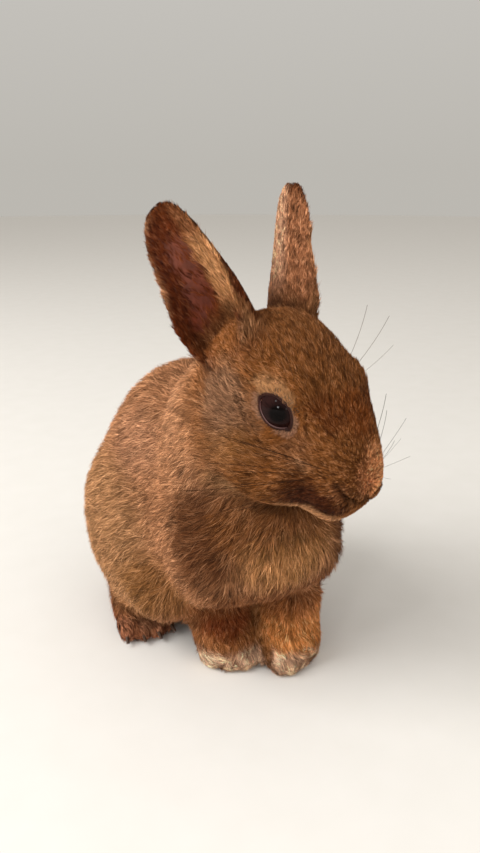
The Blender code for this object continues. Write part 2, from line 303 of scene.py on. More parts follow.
def triangles_of(mesh: Mesh) -> Array:
    """A mesh's triangles as rows of point numbers."""
    mesh.calc_loop_triangles()
    flat = np.empty(len(mesh.loop_triangles) * 3, np.int32)
    mesh.loop_triangles.foreach_get("vertices", flat)
    return flat.reshape(-1, 3)


def tree_of(points: Array, triangles: Array) -> BVHTree:
    """A search tree over triangles."""
    return BVHTree.FromPolygons(points.tolist(), triangles.tolist())


def face_normals(points: Array, triangles: Array) -> Array:
    """Each triangle's normal, as long as twice its area."""
    a, b, c = (points[triangles[:, k]] for k in range(3))
    return np.cross(b - a, c - a)


def point_normals(points: Array, triangles: Array) -> Array:
    """Each point's unit normal, from the triangles round it."""
    normals = face_normals(points, triangles)
    total = [sum(np.bincount(triangles[:, k], column, len(points)) for k in range(3)) for column in normals.T]
    return unit(np.stack(total, 1))


def faces_out(points: Array, triangles: Array, centre: Array) -> bool:
    """Whether triangles point away from a centre, on the whole."""
    return (face_normals(points, triangles) * (points[triangles].mean(1) - centre)).sum() >= 0


def split_quads(a: Array, b: Array, c: Array, d: Array) -> Array:
    """Two triangles for every quad, with its corners a and b in one row and c and d in the next."""
    return np.concatenate((np.stack((a, c, d), -1).reshape(-1, 3), np.stack((a, d, b), -1).reshape(-1, 3)))


def ball(centre: Array, radius: float, axis: Array, rings: int, columns: int) -> tuple:
    """A sphere with its first pole on an axis.

    Args:
        centre: its middle.
        radius: in metres.
        axis: the direction of the first pole.
        rings: how many bands there are from pole to pole.
        columns: how many faces go round.

    Returns:
        Points, triangles, and each point's degrees from the pole and turns round it.
    """
    axis = unit(np.asarray(axis, float))
    side = unit(np.cross(axis, (0.0, 0.0, 1.0)))
    rise = np.cross(side, axis)
    polar = np.repeat(np.linspace(0, 180, rings + 1)[1:-1], columns)
    turn = np.tile(np.arange(columns) / columns, rings - 1)
    p, t = np.radians(polar)[:, None], turn[:, None] * math.tau
    body = np.cos(p) * axis + np.sin(p) * (np.cos(t) * side + np.sin(t) * rise)
    points = centre + radius * np.concatenate((axis[None], body, -axis[None]))
    here = np.arange(columns)
    ahead = (here + 1) % columns
    faces = [np.stack((np.zeros(columns, int), 1 + here, 1 + ahead), 1)]
    for ring in range(rings - 2):
        a, b = 1 + ring * columns, 1 + (ring + 1) * columns
        faces.append(split_quads(a + here, a + ahead, b + here, b + ahead))
    last = 1 + (rings - 2) * columns
    faces.append(np.stack((last + here, np.full(columns, len(points) - 1), last + ahead), 1))
    triangles = np.concatenate(faces)
    if not faces_out(points, triangles, centre):
        triangles = triangles[:, ::-1]
    return points, triangles, np.concatenate(([0.0], polar, [180.0])), np.concatenate(([0.0], turn, [0.0]))


def tube(path: Array, radii: Array, sides: int) -> tuple:
    """A closed tube along a path.

    Args:
        path: its middle line in metres.
        radii: its radius at each point.
        sides: how many faces go round.

    Returns:
        Points and triangles.
    """
    way = unit(np.gradient(path, axis=0))
    first = unit(np.cross(way, np.array((0.3, 0.2, 0.93))))
    second = np.cross(way, first)
    angle = np.arange(sides) / sides * math.tau
    ring = np.cos(angle)[None, :, None] * first[:, None] + np.sin(angle)[None, :, None] * second[:, None]
    points = (path[:, None] + ring * radii[:, None, None]).reshape(-1, 3)
    points = np.concatenate((points, path[:1], path[-1:]))
    here, ahead = np.arange(sides), (np.arange(sides) + 1) % sides
    faces = []
    for row in range(len(path) - 1):
        a, b = row * sides, (row + 1) * sides
        faces.append(split_quads(a + here, b + here, a + ahead, b + ahead))
    end = (len(path) - 1) * sides
    faces.append(np.stack((np.full(sides, len(points) - 2), ahead, here), 1))
    faces.append(np.stack((np.full(sides, len(points) - 1), end + here, end + ahead), 1))
    return points, np.concatenate(faces)


def welded(node: str) -> tuple:
    """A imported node's mesh with its loose triangles merged.

    Args:
        node: the node's name.

    Returns:
        Its points and its triangles.
    """
    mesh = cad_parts[node].data
    points, triangles = points_of(mesh), triangles_of(mesh)
    cells = np.round(points / 2e-6).astype(np.int64)
    _, first, place = np.unique(cells, axis=0, return_index=True, return_inverse=True)
    a, b, c = place.ravel()[triangles].T
    whole = (a != b) & (b != c) & (c != a)
    return points[first], np.stack((a, b, c), 1)[whole]


class Net:
    """A mesh's edges, for averaging values between neighbouring points."""

    def __init__(self, count: int, triangles: Array) -> None:
        """Lists each edge of the triangles once in each direction."""
        pairs = np.concatenate((triangles[:, (0, 1)], triangles[:, (1, 2)], triangles[:, (2, 0)]))
        pairs = np.unique(np.sort(pairs, 1), axis=0)
        self.start = np.concatenate((pairs[:, 0], pairs[:, 1]))
        self.end = np.concatenate((pairs[:, 1], pairs[:, 0]))
        self.count = count
        self.degree = np.maximum(np.bincount(self.start, minlength=count), 1)

    def smooth(self, values: Array, steps: int, pull: float = 0.5) -> Array:
        """Moves each point's value towards its neighbours' mean.

        Args:
            values: one number or row for each point.
            steps: how many times.
            pull: how far each time, 0 to 1.

        Returns:
            The smoothed values.
        """
        flat = values.reshape(self.count, -1).astype(float)
        for _ in range(steps):
            mean = np.stack([np.bincount(self.start, column[self.end], self.count) for column in flat.T], 1)
            flat = flat + pull * (mean / self.degree[:, None] - flat)
        return flat.reshape(values.shape)


# ---------- where things are


class Anatomy:
    """Where the eyes, the head and the trunk are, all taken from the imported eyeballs' boxes."""

    def __init__(self) -> None:
        """Reads the eyes' boxes, which set the head's origin, and with it the trunk's."""
        self.eyes = {side: self.middle(f"eye_{side.word}") for side in Side}
        yaw = Matrix.Rotation(math.radians(HEAD_YAW), 3, "Z")
        pitch = Matrix.Rotation(math.radians(HEAD_PITCH), 3, "X")
        self.turn = np.array(yaw @ pitch)
        between = (self.eyes[Side.LEFT] + self.eyes[Side.RIGHT]) / 2
        forward, up = EYES_MIDDLE
        self.head_origin = between - self.turn @ (to_frame((forward, 0.0, up)) * MM)
        self.body_origin = self.head_origin - to_frame(HEAD_PLACE) * MM

    @staticmethod
    def middle(node: str) -> Array:
        """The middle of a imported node's box."""
        low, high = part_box(node)
        return np.array((low + high) / 2)

    def head(self, points: Array) -> Array:
        """Points in metres as forward, left and up on the head, in millimetres."""
        return from_frame((points - self.head_origin) @ self.turn / MM)

    def from_head(self, places: Array) -> Array:
        """Places on the head, in millimetres, as points in metres."""
        return self.head_origin + to_frame(places) @ self.turn.T * MM

    def head_direction(self, direction: Array) -> Array:
        """A direction on the head, forward, left and up, in the frame's axes."""
        return to_frame(direction) @ self.turn.T

    def body(self, points: Array) -> Array:
        """Points in metres as forward, left and up on the trunk, in millimetres."""
        return from_frame((points - self.body_origin) / MM)

    def from_body(self, places: Array) -> Array:
        """Places on the trunk, in millimetres, as points in metres."""
        return self.body_origin + to_frame(places) * MM


@dataclass(frozen=True)
class EyeOpening:
    """The almond between the lids, in degrees forward and up round an axis out of the eyeball.

    Each lid is a smooth curve through a few places, and the two meet in corners. A place's third number
    is how many millimetres the lid's crest stands above the ball there, most in the inner corner.
    """

    axis_forward: float = 24.0
    axis_up: float = 2.0
    upper: tuple = (
        (-58, 18, 0.5), (-38, 33, 0.4), (-10, 39, 0.4), (18, 29, 0.4),
        (33, 14, 0.5), (41, -9, 0.7), (40.5, -33, 1.1),
    )
    lower: tuple = (
        (40.5, -33, 1.1), (29, -37, 0.7), (12, -39.5, 0.45),
        (-13, -33, 0.4), (-43, -7, 0.4), (-58, 18, 0.5),
    )
    columns: int = 144
    rounding: int = 3

    def margin(self) -> Array:
        """The lids' crest, going round once.

        Returns:
            Rows of degrees forward, degrees up and millimetres above the ball.
        """
        half = self.columns // 2
        line = np.concatenate((through(self.upper, half), through(self.lower, self.columns - half)))
        return smooth_ring(line, self.rounding)

    def basis(self, side: Side) -> tuple:
        """The axis and the forward and up directions across it, in head coordinates."""
        a, e = math.radians(self.axis_forward), math.radians(self.axis_up)
        s = side.value
        axis = np.array((math.sin(a) * math.cos(e), s * math.cos(a) * math.cos(e), math.sin(e)))
        forward = np.array((math.cos(a), -s * math.sin(a), 0.0))
        rise = np.cross(forward, axis)
        rise = rise if rise[2] > 0 else -rise
        return axis, forward, rise

    def directions(self, degrees: Array, side: Side) -> Array:
        """Unit directions out of the eyeball, in head coordinates, for degrees forward and up."""
        axis, forward, rise = self.basis(side)
        degrees = degrees[..., :2]
        angle = np.linalg.norm(degrees, axis=-1, keepdims=True)
        flat = degrees / np.maximum(angle, 1e-9)
        angle = np.radians(angle)
        return np.cos(angle) * axis + np.sin(angle) * (flat[..., :1] * forward + flat[..., 1:] * rise)

    def inside(self, directions: Array, side: Side) -> Array:
        """Whether unit directions in head coordinates pass between the lids."""
        axis, forward, rise = self.basis(side)
        angle = np.degrees(np.arccos(np.clip(directions @ axis, -1, 1)))
        degrees = unit(np.stack((directions @ forward, directions @ rise), -1)) * angle[..., None]
        margin = self.margin()[:, :2]
        centre = margin.mean(0)
        ray, rays = degrees - centre, margin - centre
        bearings = np.arctan2(rays[:, 1], rays[:, 0])
        order = np.argsort(bearings)
        lengths = np.linalg.norm(rays, axis=1)
        bearing = np.arctan2(ray[:, 1], ray[:, 0])
        edge = np.interp(bearing, bearings[order], lengths[order], period=math.tau)
        return np.linalg.norm(ray, axis=1) < edge


# ---------- how the coat grows and what marks it


@dataclass(frozen=True)
class Growth:
    """How the coat grows on one part of the body, in millimetres."""

    depth: float  # from the skin to the coat's tips
    length: float
    width: float
    density: float  # strands to a square millimetre
    gather: float  # how far the strands of a tuft close up at the tip
    scatter: float  # how far strands stray from the lie of the coat, in radians


def both(part: str, value: object) -> dict:
    """The same value for a part's nodes on both sides."""
    return {side.region(part): value for side in Side}


GROWTH = {
    Region.HEAD: Growth(2.2, 3.6, 0.18, 18.5, 0.55, 0.20),
    Region.NECK: Growth(4.0, 8.0, 0.22, 7.5, 0.55, 0.20),
    Region.TRUNK: Growth(4.0, 8.5, 0.23, 6.4, 0.55, 0.20),
    Region.TAIL: Growth(4.0, 8.5, 0.23, 7.0, 0.55, 0.28),
    **both("thigh", Growth(4.0, 8.5, 0.23, 6.6, 0.55, 0.20)),
    **both("foreleg", Growth(1.6, 4.6, 0.21, 11.0, 0.35, 0.20)),
    **both("hind_foot", Growth(1.3, 4.2, 0.22, 6.5, 0.35, 0.20)),
    **both("ear", Growth(0.6, 2.4, 0.16, 13.0, 0.25, 0.20)),
}

# Stretches over which the head's coat changes: the millimetre where a change starts and where it is whole.
CHEEK_DOWN = (2, 16)
CHEEK_BACK = (-12, 0)
MUZZLE_DEPTH = (6, 20)
MUZZLE_HAIR = (8, 22)
NOSE_HAIR = (21, 27)
EYE_DEPTH = (1.5, 7)
EYE_HAIR = (1.2, 7)
EYE_CALM = (1.5, 5.0)
LID_EDGE = 0.5  # nothing grows nearer to the lids' crest

# Creases of the muzzle in head coordinates, mirrored: a smooth line, how deep it is and how wide.
CREASES = (
    (((24.2, 10.4, -13.2), (25.6, 9.4, -14.4), (27.2, 7.2, -16.2), (28.3, 3.8, -18.0)), 1.2, 0.7),
    (((28.9, 0.0, -14.0), (28.9, 0.0, -16.5), (28.4, 0.0, -19.0)), 0.8, 0.55),
    (((28.5, 0.5, -18.4), (27.9, 3.6, -19.8), (25, 6.5, -22.5), (20, 9, -24), (14.5, 11.8, -23.9)), 1, 0.6),
)

BASE_COLOURS = {
    Region.HEAD: "#834e24",
    Region.NECK: "#a57350",
    Region.TRUNK: "#9d6a47",
    Region.TAIL: "#9a6c4c",
    **both("thigh", "#9b6e48"),
    # Painted light and shade: one fur on both forelegs, lighter on the left and darker on the right.
    Region.FORELEG_LEFT: "#cc8144",
    Region.FORELEG_RIGHT: "#935a30",
    **both("hind_foot", "#843b0e"),
    Region.EAR_LEFT: "#965f3e",
    Region.EAR_RIGHT: "#5f280b",
}


class Home(Enum):
    """Whose coordinates a mark is placed in."""

    HEAD = "head"
    TRUNK = "trunk"


@dataclass(frozen=True)
class Mark:
    """A soft patch of colour, an ellipsoid on the head or the trunk, on both sides unless it names one."""

    colour: str
    centre: tuple
    radii: tuple
    strength: float = 0.8
    home: Home = Home.HEAD
    side: Side | None = None


MARKS = (
    Mark("#845028", (2, 0, 20), (22, 13, 10), 0.7),
    Mark("#7e3e11", (20, 0, 4), (12, 7, 7), 0.7),
    Mark("#632f0d", (15, 9, 4), (9, 5, 5), 0.7),
    Mark("#3e1805", (17, 10, -21.3), (12.5, 8, 7.6), 0.95),
    Mark("#8a5a3a", (10, 13, -9), (5.5, 5, 6), 0.55),
    Mark("#9c6e4c", (14, 13.5, -12), (2.2, 3, 1.6), 0.7),
    Mark("#6f4424", (0, 20, -13), (7, 6, 5), 0.6),
    Mark("#b4704a", (28.5, 3, -10), (4, 4, 6), 0.35),
    # Painted light: warm light on the left of the nose, over the nose's own orange-pink.
    Mark("#e0945f", (27.5, 2.5, -9), (7, 7, 8.5), 0.78, side=Side.LEFT),
    Mark("#8f6b52", (-16, 21, -6), (14, 9, 13), 0.65),
    Mark("#794c21", (-4, 22, -14), (10, 7, 6), 0.6),
    Mark("#8f6038", (-12, 21, -20), (10, 7, 7), 0.6),
    Mark("#ad8056", (-9, 19, -31), (15, 8, 3.2), 0.7),
    Mark("#643811", (3, 20, -25), (8, 7, 5), 0.85),
    Mark("#b07d54", (18, 7, -28), (13, 11, 3.4), 0.9),
    # Painted shadow from the chest on the top of the right forefoot.
    Mark("#6a2808", (2, -10, 21), (13, 12, 6.5), 0.8, Home.TRUNK, Side.RIGHT),
    Mark("#8a5638", (26, 10, -14.5), (3.2, 3, 3.2), 0.45),
    # Partly darker fur, partly painted shadow that the head casts on the shoulder.
    Mark("#472003", (20, 25, 70), (15, 13, 22), 0.8, Home.TRUNK),
    # Painted shadow under the chin, at the top of the chest.
    Mark("#7a4820", (27, 8, 74), (14, 16, 11), 0.7, Home.TRUNK),
    Mark("#b8824a", (34, 0, 60), (12, 22, 12), 0.55, Home.TRUNK),
    # Darker low on the chest: partly rufous underfur, partly painted shade.
    Mark("#6a3610", (26, 10, 43), (16, 18, 9), 0.8, Home.TRUNK),
    # Darker low on the flank: partly its own colour, partly painted shade.
    Mark("#764a1e", (-4, 34, 38), (22, 14, 13), 0.7, Home.TRUNK),
    Mark("#a47456", (-30, 30, 86), (22, 14, 14), 0.6, Home.TRUNK),
    # Darker low on the chest above the forefeet: partly rufous underfur, partly painted shade.
    Mark("#7a3c12", (4, 12, 30), (16, 18, 8), 0.6, Home.TRUNK),
)

# The eyes' markings: a colour, and how many millimetres wide it is at angles round the eye from ahead.
EYE_MARKS = (
    ("#ab7b51", (20, 40, 80, 125, 152, 170), (0.0, 2.0, 3.8, 5.0, 4.0, 0.0)),
    ("#946a50", (-80, -55, -20, 10, 25, 155, 175, 200, 225, 250), (0, 1.7, 2, 1.5, 0.4, 0.4, 1.7, 1.6, 1, 0)),
)
EAR_INNER = "#53220a"
EAR_FRINGE = "#b17b4d"
EAR_TIP = "#4f2307"
EAR_BACK_EDGE = "#190d06"
EAR_REAR_RIM = "#b07a52"
EAR_ROOT = "#9c6e4c"
EAR_FAR_RIM = "#d9a380"
# Painted shade in the creases of the nose and mouth: on the hair, then on the skin.
CREASE_SHADE_HAIR = "#260d03"
CREASE_SHADE_SKIN = "#180804"
LID_SKIN = "#2a120c"
EAR_HOLLOW_LOW = "#54200c"
EAR_HOLLOW_HIGH = "#5a2e20"
TOE_COLOUR = "#f4c6a4"
# Painted shade in the gaps between the toes.
TOE_GAP_SHADE = "#4a2410"
STRAW = "#c89a74"

# Where the feet are, in trunk coordinates: each forefoot's wrist and tip, and the hind feet's toes.
FORELEGS = {Side.LEFT: ((-1.0, 17.0), (19.0, 11.0)), Side.RIGHT: ((-11.0, -8.5), (9.0, -8.5))}
FORE_TOES_BACK = (9.0, 7.5, 9.5, 15.0)
FORE_TOE_SPREAD = 5.2
FORE_TOE_HEIGHT = 4.4
FORE_CLAW = 1.7
HIND_TOES = -25.0
HIND_TOES_BACK = 9
HIND_TOE_CURVE = 2.2
HIND_FOOT_OUT = 31.0
HIND_TOE_SPREAD = 5.3
HIND_TOE_HEIGHT = 4.8
HIND_TOE_FAN = 1.5
HIND_CLAW = 4.0
MIDDLE_TOE = 1.5


@dataclass(frozen=True)
class Toe:
    """One toe: its place in trunk coordinates, the way it points in radians, and its claw's length."""

    place: tuple
    yaw: float
    claw: float
    fore: bool


def toes() -> list:
    """The sixteen toes, the forefeet's first."""
    made = []
    for side, (wrist, tip) in FORELEGS.items():
        reach, drift = tip[0] - wrist[0], tip[1] - wrist[1]
        for index, back in enumerate(FORE_TOES_BACK):
            spread = side.value * (index - MIDDLE_TOE) * FORE_TOE_SPREAD
            yaw = math.atan2(drift, reach) + math.radians(spread)
            place = (tip[0] - back, tip[1] - back * drift / reach + spread, FORE_TOE_HEIGHT)
            made.append(Toe(place, yaw, FORE_CLAW, True))
    for side in Side:
        for index in range(4):
            spread = (index - MIDDLE_TOE) * HIND_TOE_SPREAD
            back = HIND_TOES_BACK + abs(index - MIDDLE_TOE) * HIND_TOE_CURVE
            place = (HIND_TOES - back, side.value * HIND_FOOT_OUT + spread, HIND_TOE_HEIGHT)
            made.append(Toe(place, math.radians(spread * HIND_TOE_FAN), HIND_CLAW, False))
    return made


# ---------- the skin

# The rings of a lid's rolled edge, from the ball out over the crest: degrees out of the crest, millimetres
# above the ball, and the share of the crest's height.
LID_RINGS = (
    (-2.8, -0.8, 0.0), (-2.4, 0.05, 0.0), (-1.7, 0.05, 0.5),
    (-0.8, 0.0, 0.9), (0.6, 0.02, 1.0), (2.4, 0.0, 1.0),
)


@dataclass
class Skin:
    """The one skin over the whole body, drawn in from the solids' outline by the depth of the coat."""

    anatomy: Anatomy
    opening: EyeOpening
    voxel: float = 1.1
    swell: float = 0.45
    reach: float = 9.0  # how far from a node a point can still belong to it
    blend: float = 2.2  # how softly one region passes into the next
    socket_gap: float = 0.2
    muzzle_middle: tuple = (26.0, 0.0, -16.0)  # the skin is cut finer round here, for the nose and mouth
    muzzle_radius: float = 13.0
    skirt_rows: int = 12  # rows of the slope from a lid to the skin
    skirt_reach: float = 4.6
    skirt_sunk: float = 0.25
    under_lid: float = 1.6
    lid_reach: float = 9.0  # how far from the ball the old skin is looked at
    lid_room: float = 0.7  # how far under the lids' band the old skin is kept
    ball_room: float = 1.2  # how far inside the ball what is left of it is hidden
    points: Array = field(init=False)
    triangles: Array = field(init=False)
    shares: Array = field(init=False)  # how much of each region each point belongs to
    normals: Array = field(init=False)
    net: Net = field(init=False)
    tree: BVHTree = field(init=False)
    creases: list = field(default_factory=list, init=False)  # each a line in head coordinates and a width

    def build(self) -> None:
        """Fuses the flesh, draws it in, shapes the nose and mouth, and adds the lids."""
        self.fuse()
        self.draw_in()
        self.open_nose()
        self.add_lids()
        self.triangles = self.triangles.astype(np.int64)
        self.normals = point_normals(self.points, self.triangles)
        self.net = Net(len(self.points), self.triangles)
        self.tree = tree_of(self.points, self.triangles)

    def share(self, region: Region) -> Array:
        """How much each point belongs to a region, from 0 to 1."""
        return self.shares[:, REGIONS.index(region)]

    def swollen(self, region: Region) -> tuple:
        """A node's welded points, swollen a little, and its triangles."""
        points, triangles = welded(region.value)
        return points + point_normals(points, triangles) * self.swell * MM, triangles

    def fuse(self) -> None:
        """Swells the nodes of flesh a little so that their gaps close, and remeshes them as one."""
        lumps = [self.swollen(region) for region in REGIONS]
        for side in Side:
            radius = (EYE_RADIUS + self.socket_gap) * MM
            lumps.append(ball(self.anatomy.eyes[side], radius, (side.value, 0, 0), 24, 48)[:2])
        starts = np.cumsum([0] + [len(points) for points, _ in lumps])
        points = np.concatenate([points for points, _ in lumps])
        triangles = np.concatenate([triangles + start for (_, triangles), start in zip(lumps, starts)])
        rough = mesh_object("flesh", points, triangles)
        remesh = rough.modifiers.new("Remesh", "REMESH")
        remesh.mode = "VOXEL"
        remesh.voxel_size = self.voxel * MM
        relax = rough.modifiers.new("Smooth", "SMOOTH")
        relax.factor = 0.5
        relax.iterations = 3
        mesh = baked_mesh(rough)
        self.points, self.triangles = points_of(mesh), triangles_of(mesh)
        bpy.data.meshes.remove(mesh)

    def share_out(self, points: Array) -> Array:
        """How much of each region each point belongs to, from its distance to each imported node."""
        reach = self.reach * MM
        near = np.full((len(points), len(REGIONS)), np.inf)
        for column, region in enumerate(REGIONS):
            place, faces = welded(region.value)
            tree = tree_of(place, faces)
            low, high = place.min(0) - reach, place.max(0) + reach
            for index in np.flatnonzero(((points > low) & (points < high)).all(1)):
                distance = tree.find_nearest(points[index], reach)[3]
                if distance is not None:
                    near[index, column] = distance
        near -= near.min(1, keepdims=True)
        shares = np.exp(-near / (self.blend * MM))
        return shares / shares.sum(1, keepdims=True)

    def coat_depth(self, points: Array, shares: Array) -> Array:
        """Millimetres from the skin to the coat's tips, least round the eyes and on the nose."""
        depth = shares @ np.array([GROWTH[region].depth for region in REGIONS])
        head = self.anatomy.head(points)
        face = 2.0 + 1.4 * cheek(head) - 1.1 * ramp(head[:, 0], *MUZZLE_DEPTH)
        face = face + (0.7 - face) * fade(self.from_eyes(points), *EYE_DEPTH)
        return depth + shares[:, REGIONS.index(Region.HEAD)] * (face - GROWTH[Region.HEAD].depth)

    def crest(self, side: Side) -> Array:
        """The crest of the lids round one eye, in metres."""
        margin = self.opening.margin()
        aim = self.anatomy.head_direction(self.opening.directions(margin, side))
        return self.anatomy.eyes[side] + aim * (EYE_RADIUS + margin[:, 2:]) * MM

    def from_eyes(self, points: Array) -> Array:
        """Millimetres from the nearer eye's lids' crest, less than 0 in the opening, and 50 far away."""
        far, reach, skin_over_ball = 50.0, 16, 1.0
        nearest = np.full(len(points), far)
        for side in Side:
            distance = np.linalg.norm(points - self.anatomy.eyes[side], axis=1) / MM
            close = np.flatnonzero(distance < EYE_RADIUS + reach)
            gap = np.linalg.norm(points[close, None] - self.crest(side)[None], axis=2).min(1) / MM
            ray = unit(self.anatomy.head(points[close]) - self.anatomy.head(self.anatomy.eyes[side]))
            within = self.opening.inside(ray, side) & (distance[close] < EYE_RADIUS + skin_over_ball)
            nearest[close] = np.minimum(nearest[close], np.where(within, -gap, gap))
        return nearest

    def draw_in(self) -> None:
        """Moves the fused surface in by the coat's depth, along smoothed normals."""
        net = Net(len(self.points), self.triangles)
        self.shares = net.smooth(self.share_out(self.points), 4)
        normals = unit(net.smooth(point_normals(self.points, self.triangles), 3))
        depth = net.smooth(self.coat_depth(self.points, self.shares), 4)
        self.points = self.points - normals * (depth + self.swell)[:, None] * MM
        self.points = net.smooth(self.points, 1, 0.4)
        self.points[:, 2] = np.maximum(self.points[:, 2], FLOOR_GAP * MM)

    def refine(self, middle: Array, radius: float, cuts: int) -> None:
        """Cuts the triangles near a place into finer ones.

        Args:
            middle: the place in metres.
            radius: how far round it, in millimetres.
            cuts: how many new points each edge gets.
        """
        mesh = bpy.data.meshes.new("refine")
        mesh.from_pydata(self.points.tolist(), [], self.triangles.tolist())
        builder = bmesh.new()
        builder.from_mesh(mesh)
        near = Vector(middle)
        edges = [edge for edge in builder.edges if (edge.verts[0].co - near).length < radius * MM]
        bmesh.ops.subdivide_edges(builder, edges=edges, cuts=cuts, use_grid_fill=True, smooth=0.0)
        bmesh.ops.triangulate(builder, faces=builder.faces)
        builder.to_mesh(mesh)
        builder.free()
        finder = KDTree(len(self.points))
        for index, point in enumerate(self.points):
            finder.insert(point, index)
        finder.balance()
        points = points_of(mesh)
        sources = [finder.find(point)[1] for point in points[len(self.points) :]]
        self.shares = np.concatenate((self.shares, self.shares[sources]))
        self.points, self.triangles = points, triangles_of(mesh)
        bpy.data.meshes.remove(mesh)

    def open_nose(self) -> None:
        """Presses the nostrils, the groove under them and the mouth into the muzzle."""
        self.refine(self.anatomy.from_head(self.muzzle_middle), self.muzzle_radius, 2)
        net = Net(len(self.points), self.triangles)
        normals = unit(net.smooth(point_normals(self.points, self.triangles), 2))
        tree = tree_of(self.points, self.triangles)
        head = folded(self.anatomy.head(self.points))
        press = np.zeros(len(head))
        for crease, depth, width in CREASES:
            places = self.anatomy.from_head(through(crease, 40))
            line = self.anatomy.head(np.array([tree.find_nearest(place)[0] for place in places]))
            self.creases.append((line, width))
            press = np.maximum(press, depth * np.exp(-((gap_to(head, line) / width) ** 2)))
        self.points = self.points - normals * press[:, None] * MM

    def add_lids(self) -> None:
        """Joins a closed band round each eye to the skin: the lids' rolled edge and the slope up to it."""
        tree = tree_of(self.points, self.triangles)
        bands = [self.lid_rows(side, tree) for side in Side]
        for side, rows in zip(Side, bands):
            self.sink_under(rows, side)
        for side, rows in zip(Side, bands):
            count, columns = rows.shape[:2]
            index = np.arange(count * columns).reshape(count, columns) + len(self.points)
            down, over = np.roll(index, -1, 0), np.roll(index, -1, 1)
            faces = split_quads(index, over, down, np.roll(down, -1, 1))
            place = rows.reshape(-1, 3)
            self.points = np.concatenate((self.points, place))
            outer = faces[np.isin(faces, index[3 : len(LID_RINGS)]).all(1)]
            if not faces_out(self.points, outer, self.anatomy.eyes[side]):
                faces = faces[:, ::-1]
            self.triangles = np.concatenate((self.triangles, faces))
            share = np.zeros((len(place), len(REGIONS)))
            share[:, REGIONS.index(Region.HEAD)] = 1
            self.shares = np.concatenate((self.shares, share))

    def lid_rows(self, side: Side, tree: BVHTree) -> Array:
        """The lids' band as rows that go round the eye, from the ball out over the crest to the skin.

        Args:
            side: which eye.
            tree: the skin so far.

        Returns:
            An array of rows, columns and coordinates.
        """
        eye, opening = self.anatomy.eyes[side], self.opening
        margin = opening.margin()
        outward = np.zeros_like(margin)
        outward[:, :2] = unit(margin[:, :2] - margin[:, :2].mean(0))

        def ring(degrees_out: float, above: float, share: float) -> Array:
            """A ring of the lid, by the sizes that LID_RINGS lists."""
            aim = self.anatomy.head_direction(opening.directions(margin + outward * degrees_out, side))
            return eye + aim * (EYE_RADIUS + above + share * margin[:, 2:]) * MM

        axis, forward, rise = (self.anatomy.head_direction(way) for way in opening.basis(side))
        away = unit(outward[:, :1] * forward + outward[:, 1:2] * rise)
        rim = [ring(*sizes) for sizes in LID_RINGS]
        edge = rim[-1]
        hits = [tree.find_nearest(start) for start in edge + away * self.skirt_reach * MM + axis * 0.8 * MM]
        land = smooth_ring(np.array([hit[0] for hit in hits]), 8)
        dive = unit(smooth_ring(np.array([hit[1] for hit in hits]), 8))
        bend = edge + (away * 1.7 + axis * 0.35) * MM
        foot = land - dive * self.skirt_sunk * MM
        steps = np.linspace(0, 1, self.skirt_rows + 1)[1:]
        skirt = [(1 - t) ** 2 * edge + 2 * t * (1 - t) * bend + t * t * foot for t in steps]
        under = [land - dive * self.under_lid * MM, ring(14.0, -1.0, 0.0)]
        return np.array(rim + skirt + under)

    def sink_under(self, rows: Array, side: Side) -> None:
        """Lowers the skin that would stand above the lids' band, and hides the rest of it behind the ball.

        Args:
            rows: the band round the eye.
            side: which eye.
        """
        eye = self.anatomy.eyes[side]
        outer = rows[len(LID_RINGS) - 2 : len(LID_RINGS) + self.skirt_rows]
        count, columns = outer.shape[:2]
        index = np.arange(count * columns).reshape(count, columns)
        over = np.roll(index, -1, 1)
        faces = split_quads(index[:-1], over[:-1], index[1:], over[1:])
        place = outer.reshape(-1, 3)
        if not faces_out(place, faces, eye):
            faces = faces[:, ::-1]
        tree = tree_of(place, faces)
        ray = self.points - eye
        for i in np.flatnonzero(np.linalg.norm(ray, axis=1) < (EYE_RADIUS + self.lid_reach) * MM):
            spot, normal, face, gap = tree.find_nearest(self.points[i])
            row = faces[face].min() // columns / (count - 1)
            spot, normal = np.array(spot), np.array(normal)
            height = (self.points[i] - spot) @ normal
            room = self.lid_room * MM * fade(np.array(row), 0.75, 0.97)
            beyond = gap > abs(height) + 0.3 * MM
            if height > -room and room > 0 and not (beyond and row > 0.5):
                self.points[i] -= normal * (height + room)
        ray = self.points - eye
        distance = np.linalg.norm(ray, axis=1)
        within = self.opening.inside(unit(self.anatomy.head(self.points) - self.anatomy.head(eye)), side)
        behind = EYE_RADIUS - self.ball_room
        hidden = within & (distance < (EYE_RADIUS + 4) * MM) & (distance > behind * MM)
        self.points[hidden] = eye + unit(ray[hidden]) * behind * MM


def cheek(head: Array) -> Array:
    """How much each place on the head is on a cheek, from 0 to 1."""
    return ramp(-head[:, 2], *CHEEK_DOWN) * ramp(-head[:, 0], *CHEEK_BACK)


def gap_to(places: Array, line: Array, reach: float = 6.0) -> Array:
    """Each place's distance to the nearest point of a line, or a long way where it is beyond reach.

    Args:
        places: rows in millimetres.
        line: the line's points, in the same coordinates.
        reach: how far from the line's box is still measured.

    Returns:
        Millimetres.
    """
    gap = np.full(len(places), 1e3)
    close = np.flatnonzero((places > line.min(0) - reach).all(1) & (places < line.max(0) + reach).all(1))
    if len(close):
        gap[close] = np.linalg.norm(places[close, None] - line[None], axis=2).min(1)
    return gap


# ---------- colour and lie of the coat


@dataclass
class EarField:
    """One ear's own coordinates at every point of the skin; those off the ear are not used."""

    on: Array  # how much each point belongs to the ear, from 0 to 1
    inner: Array  # how surely its normal turns towards the ear's middle line
    along: Array  # from 0 at the root to 1 at the tip
    share: Array  # from 0 at the rear rim to 1 at the front one
    inward: Array  # from 0 at the outer rim to 1 at the one nearer the other ear
    front: Array  # how much it faces the way the ear opens
    hair_way: Array  # the way the hair points


